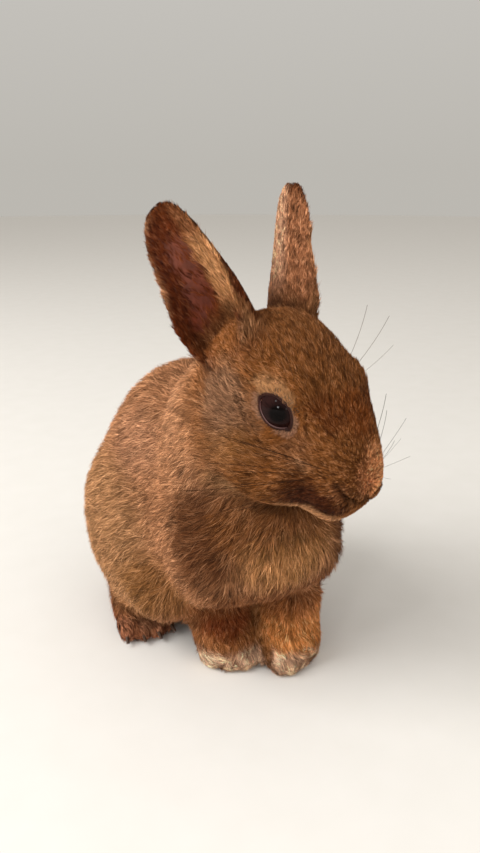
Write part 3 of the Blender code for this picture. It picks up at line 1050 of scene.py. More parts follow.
@dataclass
class Lie:
    """What the coat is like at each point of the skin: its lie, length, depth, density and colour."""

    skin: Skin
    ear_levels: int = 15
    spine_steps: int = 3  # how many steps a hair's length is traced in
    toward_other_ear: tuple = (0.906, -0.42, 0.0)
    ears: dict = field(init=False)

    def build(self) -> None:
        """Works out every field of the coat over the skin."""
        skin, anatomy = self.skin, self.skin.anatomy
        for key in ("length", "width", "density", "gather", "scatter"):
            setattr(self, key, skin.shares @ np.array([getattr(GROWTH[region], key) for region in REGIONS]))
        self.depth = skin.coat_depth(skin.points, skin.shares)
        self.head = anatomy.head(skin.points)
        self.body = anatomy.body(skin.points)
        self.from_eye = skin.from_eyes(skin.points)
        self.on_head = skin.share(Region.HEAD)
        self.ears = {side: self.ear_field(side) for side in Side}
        self.inner = skin.net.smooth(np.maximum(*(ear.inner for ear in self.ears.values())), 6)
        self.shape_head()
        self.shape_ears()
        self.flow = self.lay()
        # Painted shade: the coat is darkened by up to 0.45 in folds and hollows.
        self.colour = self.paint() * (1 - 0.45 * self.hollows()[:, None])
        self.trace()

    def ripple(self, wave_mm: float, seed: int) -> Array:
        """A smooth random value at each point of the skin, about -1 to 1."""
        return ripple(self.skin.points, wave_mm, seed)

    def shape_head(self) -> None:
        """Shortens the coat to velvet on the muzzle and round the eyes, and bares the lids and creases."""
        forward = self.head[:, 0]
        muzzle = ramp(forward, *MUZZLE_HAIR)
        close = fade(self.from_eye, *EYE_HAIR)
        length = 3.6 + 2.0 * cheek(self.head) - 1.6 * muzzle
        length = length + (1.0 - length) * close
        length = length * (1 - 0.4 * ramp(forward, *NOSE_HAIR))
        self.calm = self.on_head * fade(self.from_eye, *EYE_CALM)
        self.length = self.length + self.on_head * (length - GROWTH[Region.HEAD].length)
        self.density = self.density * np.where(self.from_eye < LID_EDGE, 0, 1)
        self.density = self.density * (1 + 0.5 * self.on_head * muzzle)
        self.width = self.width * (1 - 0.2 * self.on_head * np.maximum(close, muzzle))
        for line, width in self.skin.creases:
            self.density = np.where(gap_to(folded(self.head), line) < width * 1.1, 0, self.density)

    def ear_field(self, side: Side) -> EarField:
        """Works out one ear's coordinates from its points, its middle line and the way that it opens.

        Args:
            side: which ear.

        Returns:
            The ear's coordinates at every point of the skin.
        """
        skin, points, normals = self.skin, self.skin.points, self.skin.normals
        low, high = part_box(f"ear_{side.word}")
        share = skin.share(side.region("ear"))
        on = share > 0.4
        levels = np.linspace(low.z, high.z, self.ear_levels)
        middles = []
        for level in levels:
            close = on & (np.abs(points[:, 2] - level) < (high.z - low.z) / (self.ear_levels - 1))
            middles.append(points[close].mean(0) if close.sum() > 6 else (np.nan,) * 3)
        middles = np.array(middles)
        good = ~np.isnan(middles[:, 0])
        levels, middles = levels[good], middles[good]
        line = np.stack([np.interp(points[:, 2], levels, middles[:, k]) for k in range(3)], 1)
        facing = (unit(line - points) * normals).sum(1)
        inner = np.where(on, ramp(facing, 0.15, 0.5), 0)
        way = unit(middles[-1] - middles[0])
        along = ((points - middles[0]) * way).sum(1) / np.linalg.norm(middles[-1] - middles[0])
        medial = -side.value * np.array(self.toward_other_ear)
        medial = unit(medial - way * medial.dot(way))
        opens = (normals * (inner * on)[:, None]).sum(0)
        opens = unit(opens - way * opens.dot(way))
        # The left ear stands edge-on, so its front rim is found from the way it opens.
        front_rim = unit(np.cross(opens, way)) if side is Side.LEFT else medial
        front = skin.net.smooth(ramp((normals * opens).sum(1), 0.0, 0.35) * share, 3)
        return EarField(
            on=share,
            inner=inner,
            along=along,
            share=self.share_across((points - line) @ front_rim, along, on),
            inward=self.share_across((points - line) @ medial, along, on),
            front=front,
            hair_way=unit(way - 0.6 * front[:, None] * front_rim),
        )

    def share_across(self, beside: Array, along: Array, on: Array) -> Array:
        """How far each point is across an ear, from 0 at one rim to 1 at the other.

        Args:
            beside: each point's distance from the ear's middle line.
            along: how far each point is up the ear, from 0 to 1.
            on: which points are on the ear.

        Returns:
            The share of the ear's width at that height.
        """
        steps = np.linspace(0, 1, self.ear_levels)
        spans = [np.percentile(beside[on & (np.abs(along - step) < 0.06)], (1, 99)) for step in steps]
        least, most = (np.interp(along, steps, [span[k] for span in spans]) for k in (0, 1))
        return (beside - least) / (most - least)

    def shape_ears(self) -> None:
        """Bares the ears' hollows, fringes their front rims with long hair, and leaves the backs dense."""
        self.bare = np.zeros(len(self.inner))
        self.fringe = np.zeros(len(self.inner))
        torn = 0.05 * self.ripple(2.2, 71), 0.04 * self.ripple(0.9, 72)
        for ear in self.ears.values():
            tall = ramp(ear.along, 0.03, 0.16) * fade(ear.along, 0.74, 0.88)
            ragged = ear.share + torn[0] + torn[1]
            narrowed = ragged + 0.14 * fade(ear.along, 0.2, 0.5)
            window = ramp(ragged, 0.20, 0.34) * fade(narrowed, 0.66, 0.80)
            self.bare = np.maximum(self.bare, ear.front * window * tall)
            rim = ear.front * ramp(ear.share, 0.66, 0.78) * (1 - 0.75 * ramp(ear.along, 0.6, 0.8))
            self.fringe = np.maximum(self.fringe, rim * ramp(ear.along, -0.05, 0.05))
        self.density = self.density * (1 - 0.88 * ramp(self.bare, 0.35, 0.85)) * (1 - 0.35 * self.inner)
        self.length = self.length * (1 + 0.9 * self.fringe + 0.35 * self.inner)

    def lay(self) -> Array:
        """The direction in which the hair lies at each point, along the skin.

        Returns:
            Unit vectors.
        """
        skin, anatomy = self.skin, self.skin.anatomy
        points, normals = skin.points, skin.normals
        back, down, ahead = np.array((0, 1.0, 0)), np.array((0, 0, -1.0)), np.array((0, -1.0, 0))
        height = self.body[:, 2:]
        leg = down * np.clip((height - 7) / 9, 0, 1) + ahead * np.clip((15 - height) / 9, 0.15, 1)
        ways = {
            Region.HEAD: unit(points - anatomy.from_head(NOSE_TIP)),
            Region.NECK: unit(0.75 * back + 0.8 * down),
            Region.TRUNK: unit(0.8 * back + 0.7 * down),
            Region.TAIL: unit(0.9 * back + 0.3 * down),
        }
        for side in Side:
            ways[side.region("thigh")] = unit(0.75 * back + 0.65 * down)
            ways[side.region("foreleg")] = leg
            ways[side.region("hind_foot")] = unit(ahead + 0.15 * down)
            ways[side.region("ear")] = self.ears[side].hair_way
        flow = np.zeros_like(points)
        for region in REGIONS:
            flow += skin.share(region)[:, None] * ways[region]
        flow += 0.16 * np.stack([self.ripple(13, seed) for seed in (3, 4, 5)], 1)
        flow += 0.10 * np.stack([self.ripple(5, seed) for seed in (6, 7, 8)], 1)
        for side in Side:
            ray = points - anatomy.eyes[side]
            away = unit(across(ray, normals))
            close = fade(self.from_eye, 1.0, 6) * (np.linalg.norm(ray, axis=1) < 18 * MM)
            inward = np.minimum((flow * away).sum(1), 0) * close
            flow -= inward[:, None] * away
            flow += (close * 0.35)[:, None] * away
        flow = skin.net.smooth(unit(across(flow, normals)), 3)
        return unit(across(flow, normals))

    def paint(self) -> Array:
        """The coat's colour at each point: each region's own, with every layer of marking laid over it,
        painted shade and painted light among them.
        """
        colour = self.skin.shares @ np.array([linear(BASE_COLOURS[region]) for region in REGIONS])
        for layer in (self.marks, self.crease_shade_marks, self.eye_marks, self.ear_marks, self.toe_marks_and_gap_shade):
            for code, amount in layer():
                colour = lay_over(colour, code, amount)
        return self.skin.net.smooth(colour, 1)

    def marks(self) -> Iterator[tuple]:
        """The soft patches on the head and the trunk, each a colour and its amount; several are painted
        shade, one painted light.
        """
        for number, mark in enumerate(MARKS):
            place = self.head if mark.home is Home.HEAD else self.body
            place = folded(place) if mark.side is None else place
            gap = np.linalg.norm((place - np.array(mark.centre)) / np.array(mark.radii), axis=1)
            gap = gap + 0.12 * self.ripple(4.0, 40 + number)
            amount = mark.strength * fade(gap, 0.55, 1.25)
            if mark.home is Home.HEAD:
                amount = amount * ramp(self.on_head, 0.1, 0.6)
            yield mark.colour, amount

    def crease_shade_marks(self) -> Iterator[tuple]:
        """Painted shade: dark hair along the creases beside the nostrils and the mouth."""
        for line, width in self.skin.creases:
            yield CREASE_SHADE_HAIR, 0.8 * fade(gap_to(folded(self.head), line), width * 0.7, width * 2.2)

    def eye_marks(self) -> Iterator[tuple]:
        """The pale crescent over each eye's lid and the thin paler ring round the lids."""
        for side in Side:
            ray = self.head - self.skin.anatomy.head(self.skin.anatomy.eyes[side][None])
            _, forward, rise = self.skin.opening.basis(side)
            near = np.linalg.norm(ray, axis=1) < 20
            angle = np.degrees(np.arctan2(ray @ rise, ray @ forward))
            angle = np.where(angle < -90, angle + 360, angle) + 8 * self.ripple(5.0, 61)
            for code, angles, widths in EYE_MARKS:
                width = np.interp(angle, angles, widths)
                amount = near * fade(self.from_eye, width * 0.8, width * 1.15 + 0.2) * ramp(width, 0.1, 0.6)
                yield code, 0.92 * amount

    def ear_marks(self) -> Iterator[tuple]:
        """Each ear's fringe and tip, the right one's black edge and pale rims, and the left one's far rim."""
        for side, ear in self.ears.items():
            along, share, front = ear.along, ear.share, ear.front
            yield EAR_INNER, front * fade(share, 0.36, 0.5) * 0.85 * ear.on
            yield EAR_FRINGE, self.fringe * ear.on
            yield EAR_TIP, ramp(along, 0.86, 0.98) * 0.8 * ear.on
            if side is Side.RIGHT:
                black = fade(front, 0.5, 0.9) * ramp(along, 0.62, 0.8) * ramp(share, 0.65, 0.85)
                rim_width = 0.08 + 0.22 * ramp(along, 0.8, 0.97)
                yield EAR_BACK_EDGE, black * 0.9 * ear.on
                yield EAR_REAR_RIM, fade(share, 0.02, rim_width) * 0.85 * ear.on
                yield EAR_ROOT, front * fade(along, 0.04, 0.22) * ramp(share, 0.3, 0.6) * ear.on
            else:
                yield EAR_FAR_RIM, ramp(ear.inward, 0.62, 0.88) * ramp(along, 0.15, 0.5) * 0.9 * ear.on

    def toe_marks_and_gap_shade(self) -> Iterator[tuple]:
        """The toes' pale ends, and painted shade in the gaps between them."""
        for number, toe in enumerate(toes()):
            offset = self.body - np.array(toe.place)
            ahead = offset[:, 0] * math.cos(toe.yaw) + offset[:, 1] * math.sin(toe.yaw)
            beside = np.abs(offset[:, 1] * math.cos(toe.yaw) - offset[:, 0] * math.sin(toe.yaw))
            up = offset[:, 2]
            pale = ramp(ahead, -7.5, 1.2) * fade(beside, 1.6, 2.6) * fade(up, 3.5, 8.0)
            pale = np.clip(pale + 0.22 * self.ripple(2.0, 90 + number) * pale, 0, 1)
            yield TOE_COLOUR, pale * (0.9 if toe.fore else 0.15)
            # Painted shade in the gaps between the toes.
            gap = ramp(ahead, -9.0, -3.0) * ramp(beside, 1.9, 2.5) * fade(beside, 2.7, 3.4)
            yield TOE_GAP_SHADE, gap * fade(up, 4.0, 8.0) * 0.75

    def hollows(self) -> Array:
        """How deep each point lies in a fold, such as between two toes, from 0 to 1: how much painted shade
        darkens the coat there.
        """
        mean = self.skin.net.smooth(self.skin.points, 3, 0.6)
        sunk = ((mean - self.skin.points) * self.skin.normals).sum(1) / MM
        return ramp(sunk, 0.03, 0.30)

    def trace(self) -> None:
        """Follows the lie of the coat from every point of the skin for the local length of hair."""
        skin, steps = self.skin, self.spine_steps
        place, way = skin.points, self.flow
        stride = (self.length * MM / steps)[:, None]
        self.spines, self.spine_normals = np.empty((2, len(skin.points), steps, 3))
        for step in range(steps):
            hits = [skin.tree.find_nearest(point) for point in place + way * stride]
            corner = skin.triangles[[hit[2] for hit in hits], 0]
            out = skin.normals[corner]
            way = unit(across(unit(way + 0.8 * self.flow[corner]), out))
            place = np.array([hit[0] for hit in hits])
            self.spines[:, step], self.spine_normals[:, step] = place - skin.points, out

    def skin_colour(self) -> Array:
        """The skin's own colour: the markings deepened, dark on the lids, painted shade in the creases, bare
        in the ears.
        """
        colour = self.colour * 0.62
        upper = sum(ramp(ear.along, 0.3, 0.75) * ear.on for ear in self.ears.values())[:, None]
        low, high = linear(EAR_HOLLOW_LOW), linear(EAR_HOLLOW_HIGH)
        mottle = 1 + 0.20 * self.ripple(6.0, 81) + 0.10 * self.ripple(1.8, 82)
        colour = colour + self.bare[:, None] * (mottle[:, None] * (low + upper * (high - low)) - colour)
        colour = lay_over(colour, LID_SKIN, fade(self.from_eye, 0.25, 0.7))
        # Painted shade along the creases.
        for line, width in self.skin.creases:
            near = fade(gap_to(folded(self.head), line), width * 0.5, width * 1.3)
            colour = lay_over(colour, CREASE_SHADE_SKIN, near)
        return colour


# ---------- the coat


class Strand(Enum):
    """Kinds of hair in the coat, each with its brightness at the root, lower, upper and tip."""

    # The dim roots are partly darker underfur, partly painted shade deep in the coat.
    PLAIN = (0.60, 0.90, 1.00, 1.05)
    PALE_TIP = (0.55, 0.85, 1.20, 1.70)
    DARK_TIP = (0.60, 1.00, 0.80, 0.38)


STRAND_SHARES = (0.42, 0.28, 0.30)
BAND_LEVELS = (0, 0.35, 0.7, 1)
TAPER_LEVELS, TAPER = (0, 0.25, 0.7, 1), (0.7, 1.0, 0.8, 0)


@dataclass
class Coat:
    """One piece of the coat: solid strands in tufts, rooted on the skin of some regions.

    Each tuft is a patch on the piece's own map of the skin, so that the patch holds one place's colour.
    """

    name: str
    regions: tuple
    lie: Lie
    slot: str
    portion: tuple = ()
    bends: int = 2
    tuft: int = 6
    lock: int = 7  # tufts to a lock
    seed: int = 1
    patch: float = 0.003
    floor_press: float = 0.8  # how softly hair that reaches the floor is pressed, in millimetres
    root_sunk: float = 0.12
    straw_above: float = 1.25  # the brightness above which a hair turns straw-coloured
    rng: np.random.Generator = field(init=False)  # the source of chance
    tufts: dict = field(init=False)  # what the coat is like at each tuft's root
    owner: Array = field(init=False)  # each strand's tuft
    levels: Array = field(init=False)  # from 0 at the root to 1 at the tip

    def build(self, finish: "Finish") -> Object:
        """Grows the strands and dresses them."""
        self.rng = np.random.default_rng(self.seed)
        self.sow(self.ground())
        self.owner = np.repeat(np.arange(len(self.tufts["root"])), self.tuft)
        self.levels = np.linspace(0, 1, self.bends + 1)
        self.part_locks()
        points, faces = self.blades(*self.lines()), self.faces()
        piece = mesh_object(self.name, points, faces)
        set_colour(piece.data, self.dye())
        layer = piece.data.uv_layers.new(name="OFBake")
        layer.data.foreach_set("uv", self.map_places()[faces.ravel()].astype(np.float32).ravel())
        piece.data.materials.append(finish.material())
        return piece

    def ground(self) -> Array:
        """The skin's triangles that this piece grows on."""
        skin, lie = self.lie.skin, self.lie
        columns = [REGIONS.index(region) for region in self.regions]
        mine = np.isin(skin.shares.argmax(1), columns)
        triangles = skin.triangles[mine[skin.triangles].sum(1) >= 2]
        places = lie.head if Region.HEAD in self.regions else lie.body
        for axis, low, high in self.portion:
            middle = places[triangles, axis].mean(1)
            triangles = triangles[(middle >= low) & (middle < high)]
        return triangles

    def unwrap(self, triangles: Array) -> Array:
        """Unwraps this piece's part of the skin over the whole square.

        Args:
            triangles: rows of the skin's point numbers.

        Returns:
            Three map places for each triangle.
        """
        used, local = np.unique(triangles, return_inverse=True)
        flat = mesh_object("unwrap", self.lie.skin.points[used], local.reshape(-1, 3))
        flat.data.uv_layers.new(name="OFBake")
        bpy.context.view_layer.objects.active = flat
        flat.select_set(True)
        bpy.ops.object.mode_set(mode="EDIT")
        bpy.ops.mesh.select_all(action="SELECT")
        bpy.ops.uv.smart_project(angle_limit=math.radians(66), island_margin=0.004, scale_to_bounds=True)
        bpy.ops.object.mode_set(mode="OBJECT")
        places = np.empty(len(flat.data.loops) * 2, np.float32)
        flat.data.uv_layers["OFBake"].data.foreach_get("uv", places)
        bpy.data.objects.remove(flat)
        return places.reshape(-1, 3, 2)

    def sow(self, triangles: Array) -> None:
        """Spreads tufts over the ground by the coat's density, and reads what the coat is like at each.

        Args:
            triangles: the ground.
        """
        lie, skin, rng = self.lie, self.lie.skin, self.rng
        corner_uv = self.unwrap(triangles)
        area = np.linalg.norm(face_normals(skin.points, triangles), axis=1) / 2 / MM**2
        total = np.cumsum(area * lie.density[triangles].mean(1) / self.tuft)
        count = int(total[-1])
        marks = (np.arange(count) + rng.uniform(0, 1, count)) * total[-1] / count
        owners = np.minimum(np.searchsorted(total, marks), len(triangles) - 1)
        a, b = rng.uniform(0, 1, (2, count))
        fold = a + b > 1
        a, b = np.where(fold, 1 - a, a), np.where(fold, 1 - b, b)
        weights = np.stack((1 - a - b, a, b), 1)
        corners = triangles[owners]

        def read(values: Array) -> Array:
            """A field of the skin at each tuft's root."""
            flat = values.reshape(len(values), -1)
            return (flat[corners] * weights[:, :, None]).sum(1).reshape(count, *values.shape[1:])

        plain = ("length", "depth", "width", "gather", "scatter", "calm", "colour")
        self.tufts = {key: read(getattr(lie, key)) for key in plain}
        self.tufts["root"] = read(skin.points)
        self.tufts["uv"] = (corner_uv[owners] * weights[:, :, None]).sum(1)
        self.tufts["spine"] = read(lie.spines)
        self.tufts["normal"] = unit(read(lie.spine_normals))
        self.tufts["up"] = unit(read(skin.normals))
        self.tufts["flow"] = unit(read(lie.flow))
        self.tufts["side"] = np.cross(self.tufts["flow"], self.tufts["up"])
        self.tufts["spacing"] = 1 / np.sqrt(np.maximum(read(lie.density), 0.5))

    def part_locks(self) -> None:
        """Parts the tufts into locks: those nearest to one of them, whose tips close up towards its line."""
        tufts, rng = self.tufts, self.rng
        roots = tufts["root"]
        leaders = rng.choice(len(roots), max(len(roots) // self.lock, 1), replace=False)
        finder = KDTree(len(leaders))
        for number, leader in enumerate(leaders):
            finder.insert(roots[leader], number)
        finder.balance()
        lock = np.array([finder.find(root)[1] for root in roots])
        pull = across(roots[leaders[lock]] - roots, tufts["up"])
        reach = np.linalg.norm(pull, axis=1, keepdims=True)
        limit = tufts["length"][:, None] * 0.3 * MM
        tufts["lock_pull"] = pull * np.minimum(1, limit / np.maximum(reach, 1e-9))
        tufts["lock_shade"] = np.exp(rng.normal(0, 0.07, len(leaders)))[lock]
        tufts["lock_turn"] = rng.normal(0, 0.10, len(leaders))[lock]
        tufts["lock_rise"] = rng.uniform(0.85, 1.12, len(leaders))[lock]

    def lines(self) -> tuple:
        """Runs every strand's middle line from its root along the tuft's spine.

        Returns:
            The lines' points and the skin's normals under them, by strand and level.
        """
        tufts, owner, rng = self.tufts, self.owner, self.rng
        count, total = len(tufts["root"]), len(owner)
        flow, side = tufts["flow"][owner], tufts["side"][owner]
        spread = tufts["spacing"][owner] * math.sqrt(self.tuft) * 0.55 * MM
        radius = spread * np.sqrt(rng.uniform(0, 1, total))
        angle = rng.uniform(0, math.tau, total)
        offset = radius[:, None] * (np.cos(angle)[:, None] * flow + np.sin(angle)[:, None] * side)
        grow = rng.uniform(0.72, 1.12, total)
        rise = tufts["depth"][owner] * tufts["lock_rise"][owner]
        rise = rise * (0.45 + 0.70 * rng.uniform(0, 1, total) ** 0.6)
        turn = rng.normal(0, 1, total) * tufts["scatter"][owner]
        turn = turn + (tufts["lock_turn"] + rng.normal(0, 0.06, count))[owner]
        bow = rng.normal(0, 0.05, total)
        pull = rng.uniform(0.1, 0.65, total)

        spine = np.concatenate((np.zeros((count, 1, 3)), tufts["spine"]), 1)
        normal = np.concatenate((tufts["up"][:, None], tufts["normal"]), 1)
        last = spine.shape[1] - 1
        line, over = np.empty((2, total, len(self.levels), 3))
        for k, s in enumerate(self.levels):
            i = min(int(s * last), last - 1)
            f = s * last - i
            along = ((1 - f) * spine[:, i] + f * spine[:, i + 1])[owner] * grow[:, None]
            out = unit(((1 - f) * normal[:, i] + f * normal[:, i + 1])[owner])
            drift = np.linalg.norm(along, axis=1) * (turn * s + bow * (s - s * s) * 4)
            lift = rise * (1 - (1 - s) ** 1.8) * MM - self.root_sunk * MM * (s == 0)
            place = tufts["root"][owner] + along + offset * (1 - tufts["gather"][owner] * s**1.2)[:, None]
            inward = tufts["lock_pull"][owner] * (pull * s**1.3)[:, None]
            place += inward + drift[:, None] * side + out * lift[:, None]
            line[:, k], over[:, k] = place, out
        return line, over

    def blades(self, line: Array, over: Array) -> Array:
        """Widens every strand's line into a tapered blade, and presses what reaches the floor.

        Args:
            line: the lines' points, by strand and level.
            over: the skin's normals under them.

        Returns:
            The blades' points, strand by strand: the left edge, the right edge and the tip.
        """
        total = len(line)
        way = unit(np.diff(line, axis=1, append=2 * line[:, -1:] - line[:, -2:-1]))
        roll = self.rng.normal(0, 0.30, total)
        wide = unit(np.cross(way, over))
        tall = np.cross(wide, way)
        wide = wide * np.cos(roll)[:, None, None] + tall * np.sin(roll)[:, None, None]
        half = self.tufts["width"][self.owner][:, None] * np.interp(self.levels, TAPER_LEVELS, TAPER) * MM / 2
        half = half * self.rng.uniform(0.75, 1.25, total)[:, None]
        edge = wide[:, :-1] * half[:, :-1, None]
        points = np.concatenate((line[:, :-1] - edge, line[:, :-1] + edge, line[:, -1:]), 1).reshape(-1, 3)
        height = points[:, 2] / MM
        pressed = FLOOR_GAP * np.exp((height - FLOOR_GAP) / self.floor_press)
        points[:, 2] = np.where(height < FLOOR_GAP, pressed, height) * MM
        return points

    def faces(self) -> Array:
        """The blades' triangles, two for each bend and one at the tip."""
        bends = self.bends
        pattern = []
        for k in range(bends - 1):
            pattern += [(k, bends + k, bends + k + 1), (k, bends + k + 1, k + 1)]
        pattern.append((bends - 1, 2 * bends - 1, 2 * bends))
        firsts = np.arange(len(self.owner))[:, None, None] * (2 * bends + 1)
        return (firsts + np.array(pattern)[None]).reshape(-1, 3)

    def dye(self) -> Array:
        """The blades' colours: the tuft's own by each strand's bands, with straw in the brightest."""
        shade = self.shades()
        own = self.tufts["colour"][self.owner]
        colour = own[:, None, :] * np.minimum(shade, self.straw_above)[:, :, None]
        straw = np.clip(shade - self.straw_above, 0, 1.2)[:, :, None] * linear(STRAW)
        colour = colour + straw * own.mean(1)[:, None, None] * 3.0
        return np.concatenate((colour[:, :-1], colour[:, :-1], colour[:, -1:]), 1).reshape(-1, 3)

    def shades(self) -> Array:
        """The brightness of every strand by level: its kind's bands, and chance by lock, tuft and strand."""
        owner, rng, calm = self.owner, self.rng, self.tufts["calm"]
        kinds = rng.choice(len(Strand), len(owner), p=STRAND_SHARES)
        bands = np.array([np.interp(self.levels, BAND_LEVELS, kind.value) for kind in Strand])
        tuft = np.exp(rng.normal(-0.07, 0.48, len(calm)) * (1 - 0.75 * calm))
        own = np.exp(rng.normal(0, 0.24, len(owner)))
        made = bands[kinds] * (self.tufts["lock_shade"] * tuft)[owner][:, None] * own[:, None]
        return made + (calm[owner] * 0.7)[:, None] * (1.05 - made)

    def map_places(self) -> Array:
        """The blades' places on the map: each tuft's strands side by side in its patch."""
        each, uv = self.tuft, self.tufts["uv"]
        beside = (np.tile(np.arange(each), len(uv)) / max(each - 1, 1) - 0.5) * self.patch
        place = np.clip(uv, self.patch, 1 - self.patch)[self.owner]
        maps = np.empty((len(self.owner), len(self.levels), 2))
        maps[:, :, 0] = (place[:, 0] + beside)[:, None]
        maps[:, :, 1] = place[:, 1:2] + (self.levels - 0.5) * self.patch
        shift = np.array((self.patch / (2 * each), 0.0))
        return np.concatenate((maps[:, :-1] - shift, maps[:, :-1] + shift, maps[:, -1:]), 1).reshape(-1, 2)


# ---------- finishes


@dataclass(frozen=True)
class Finish:
    """A material named for the real surface: each kind paints its own colour and says how it shines."""

    name: str

    def material(self) -> Material:
        """The finish's material, made once and then shared."""
        made = bpy.data.materials.get(self.name)
        if made:
            return made
        made = bpy.data.materials.new(self.name)
        made.use_nodes = True
        tree = made.node_tree
        shader = tree.nodes["Principled BSDF"]
        for key, socket in self.paint(tree).items():
            tree.links.new(socket, shader.inputs[key])
        for key, value in self.shine().items():
            shader.inputs[key].default_value = value
        return made

    def paint(self, tree: NodeTree) -> dict:
        """Adds the finish's own nodes, and gives the sockets to link by the shader's input."""
        raise NotImplementedError

    def shine(self) -> dict:
        """The shader's plain values by input."""
        raise NotImplementedError


def grain(tree: NodeTree, scale_mm: float, detail: float) -> NodeSocket:
    """A soft random grain of a real size, fixed to the piece.

    Args:
        tree: the material's nodes.
        scale_mm: the grain's size in millimetres.
        detail: how many finer layers it has.

    Returns:
        A socket, mostly from 0.3 to 0.7.
    """
    place = add_node(tree, "ShaderNodeTexCoord")
    settings = {"in:Scale": 1000 / scale_mm, "in:Detail": detail}
    return add_node(tree, "ShaderNodeTexNoise", settings, {"Vector": place.outputs["Object"]}).outputs["Fac"]


def mottled(tree: NodeTree, colour: NodeSocket, noise: NodeSocket, low: float, high: float) -> NodeSocket:
    """A colour made darker and lighter by a grain.

    Args:
        tree: the material's nodes.
        colour: the colour's socket.
        noise: the grain's socket.
        low: the least brightness.
        high: the most.

    Returns:
        The colour's new socket.
    """
    settings = {"in:From Min": 0.3, "in:From Max": 0.7, "in:To Min": low, "in:To Max": high}
    level = add_node(tree, "ShaderNodeMapRange", settings, {"Value": noise})
    links = {0: colour, "Scale": level.outputs["Result"]}
    return add_node(tree, "ShaderNodeVectorMath", {"operation": "SCALE"}, links).outputs["Vector"]


@dataclass(frozen=True)
class Fur(Finish):
    """Young rabbit's fur, dyed root to tip by its markings: fine, soft and a little glossy along the hair."""

    grain_mm: float = 2.4
    contrast: float = 0.16

    def paint(self, tree: NodeTree) -> dict:
        """The colour stored on the hair, varied by small clumps."""
        mark = add_node(tree, "ShaderNodeAttribute", {"attribute_name": "Marking"})
        clumps = grain(tree, self.grain_mm, 2.0)
        colour = mottled(tree, mark.outputs["Color"], clumps, 1 - self.contrast, 1 + self.contrast)
        return {"Base Color": colour}

    def shine(self) -> dict:
        """Nearly matt, with a warm sheen where the coat is seen along the hair."""
        sheen = {"Sheen Weight": 0.02, "Sheen Roughness": 0.4, "Sheen Tint": rgba("#e8c8a8")}
        return {"Roughness": 0.65, "Specular IOR Level": 0.08, **sheen}


@dataclass(frozen=True)
class Hide(Finish):
    """Living skin under the coat: matt and finely wrinkled, bare in the ears and on the lids."""

    mottle_mm: float = 3.0
    pore_mm: float = 0.5

    def paint(self, tree: NodeTree) -> dict:
        """The colour stored on the skin with faint mottling, and pores."""
        mark = add_node(tree, "ShaderNodeAttribute", {"attribute_name": "Marking"})
        colour = mottled(tree, mark.outputs["Color"], grain(tree, self.mottle_mm, 4.0), 0.82, 1.18)
        place = add_node(tree, "ShaderNodeTexCoord")
        settings = {"in:Scale": 1000 / self.pore_mm}
        pores = add_node(tree, "ShaderNodeTexVoronoi", settings, {"Vector": place.outputs["Object"]})
        settings = {"in:Strength": 0.35, "in:Distance": 0.00008}
        bump = add_node(tree, "ShaderNodeBump", settings, {"Height": pores.outputs["Distance"]})
        return {"Base Color": colour, "Normal": bump.outputs["Normal"]}

    def shine(self) -> dict:
        """Matt, and lit a little from within."""
        glow = {"Weight": 0.12, "Radius": (1.0, 0.4, 0.25), "Scale": 0.0008}
        glow = {f"Subsurface {key}": value for key, value in glow.items()}
        return {"Roughness": 0.5, "Specular IOR Level": 0.16, **glow}


@dataclass(frozen=True)
class WetEye(Finish):
    """A dark eye under a wet cornea: near-black pupil, plum-brown iris with fine rays, clear gloss."""

    name: str = "wet_cornea_over_dark_iris"
    pupil: float = 19.0
    iris: float = 58.0

    def paint(self, tree: NodeTree) -> dict:
        """Rings and rays by the ball's own map: turns round the pupil, and degrees from it."""
        polar = add_node(tree, "ShaderNodeUVMap", {"uv_map": "Polar"}).outputs["UV"]
        split = add_node(tree, "ShaderNodeSeparateXYZ", {}, {0: polar})
        rays = add_node(tree, "ShaderNodeMapping", {"in:Scale": (70.0, 8.0, 1.0)}, {"Vector": polar})
        settings = {"in:Scale": 1.0, "in:Detail": 3.0}
        fibres = add_node(tree, "ShaderNodeTexNoise", settings, {"Vector": rays.outputs["Vector"]})
        rings = add_node(tree, "ShaderNodeValToRGB", {}, {"Fac": split.outputs["Y"]})
        stops = (
            (0.0, "#040202"),
            (self.pupil / 180 - 0.012, "#070303"),
            (self.pupil / 180 + 0.03, "#1a0c0b"),
            (0.24, "#22110f"),
            (self.iris / 180, "#1d0e0d"),
            (self.iris / 180 + 0.06, "#120807"),
        )
        elements = rings.color_ramp.elements
        for number, (where, code) in enumerate(stops):
            stop = elements[number] if number < 2 else elements.new(where)
            stop.position = where
            stop.color = rgba(code)
        return {"Base Color": mottled(tree, rings.outputs["Color"], fibres.outputs["Fac"], 0.6, 1.5)}

    def shine(self) -> dict:
        """The iris is matt, and the cornea over it clear and glossy."""
        cornea = {"Coat Weight": 0.22, "Coat Roughness": 0.02, "Coat IOR": 1.38}
        return {"Roughness": 0.35, "Specular IOR Level": 0.0, **cornea}


@dataclass(frozen=True)
class TwoTone(Finish):
    """A surface that a soft grain moves between two colours: horn, the tears on a lid, or card."""

    colour: str
    pale: str
    grain_mm: float
    gloss: dict
    detail: float = 1.0

    def paint(self, tree: NodeTree) -> dict:
        """The two tones, mixed by the grain."""
        noise = grain(tree, self.grain_mm, self.detail)
        settings = {"data_type": "RGBA", 6: rgba(self.colour), 7: rgba(self.pale)}
        return {"Base Color": add_node(tree, "ShaderNodeMix", settings, {"Factor": noise}).outputs[2]}

    def shine(self) -> dict:
        """The gloss that it was given."""
        return self.gloss


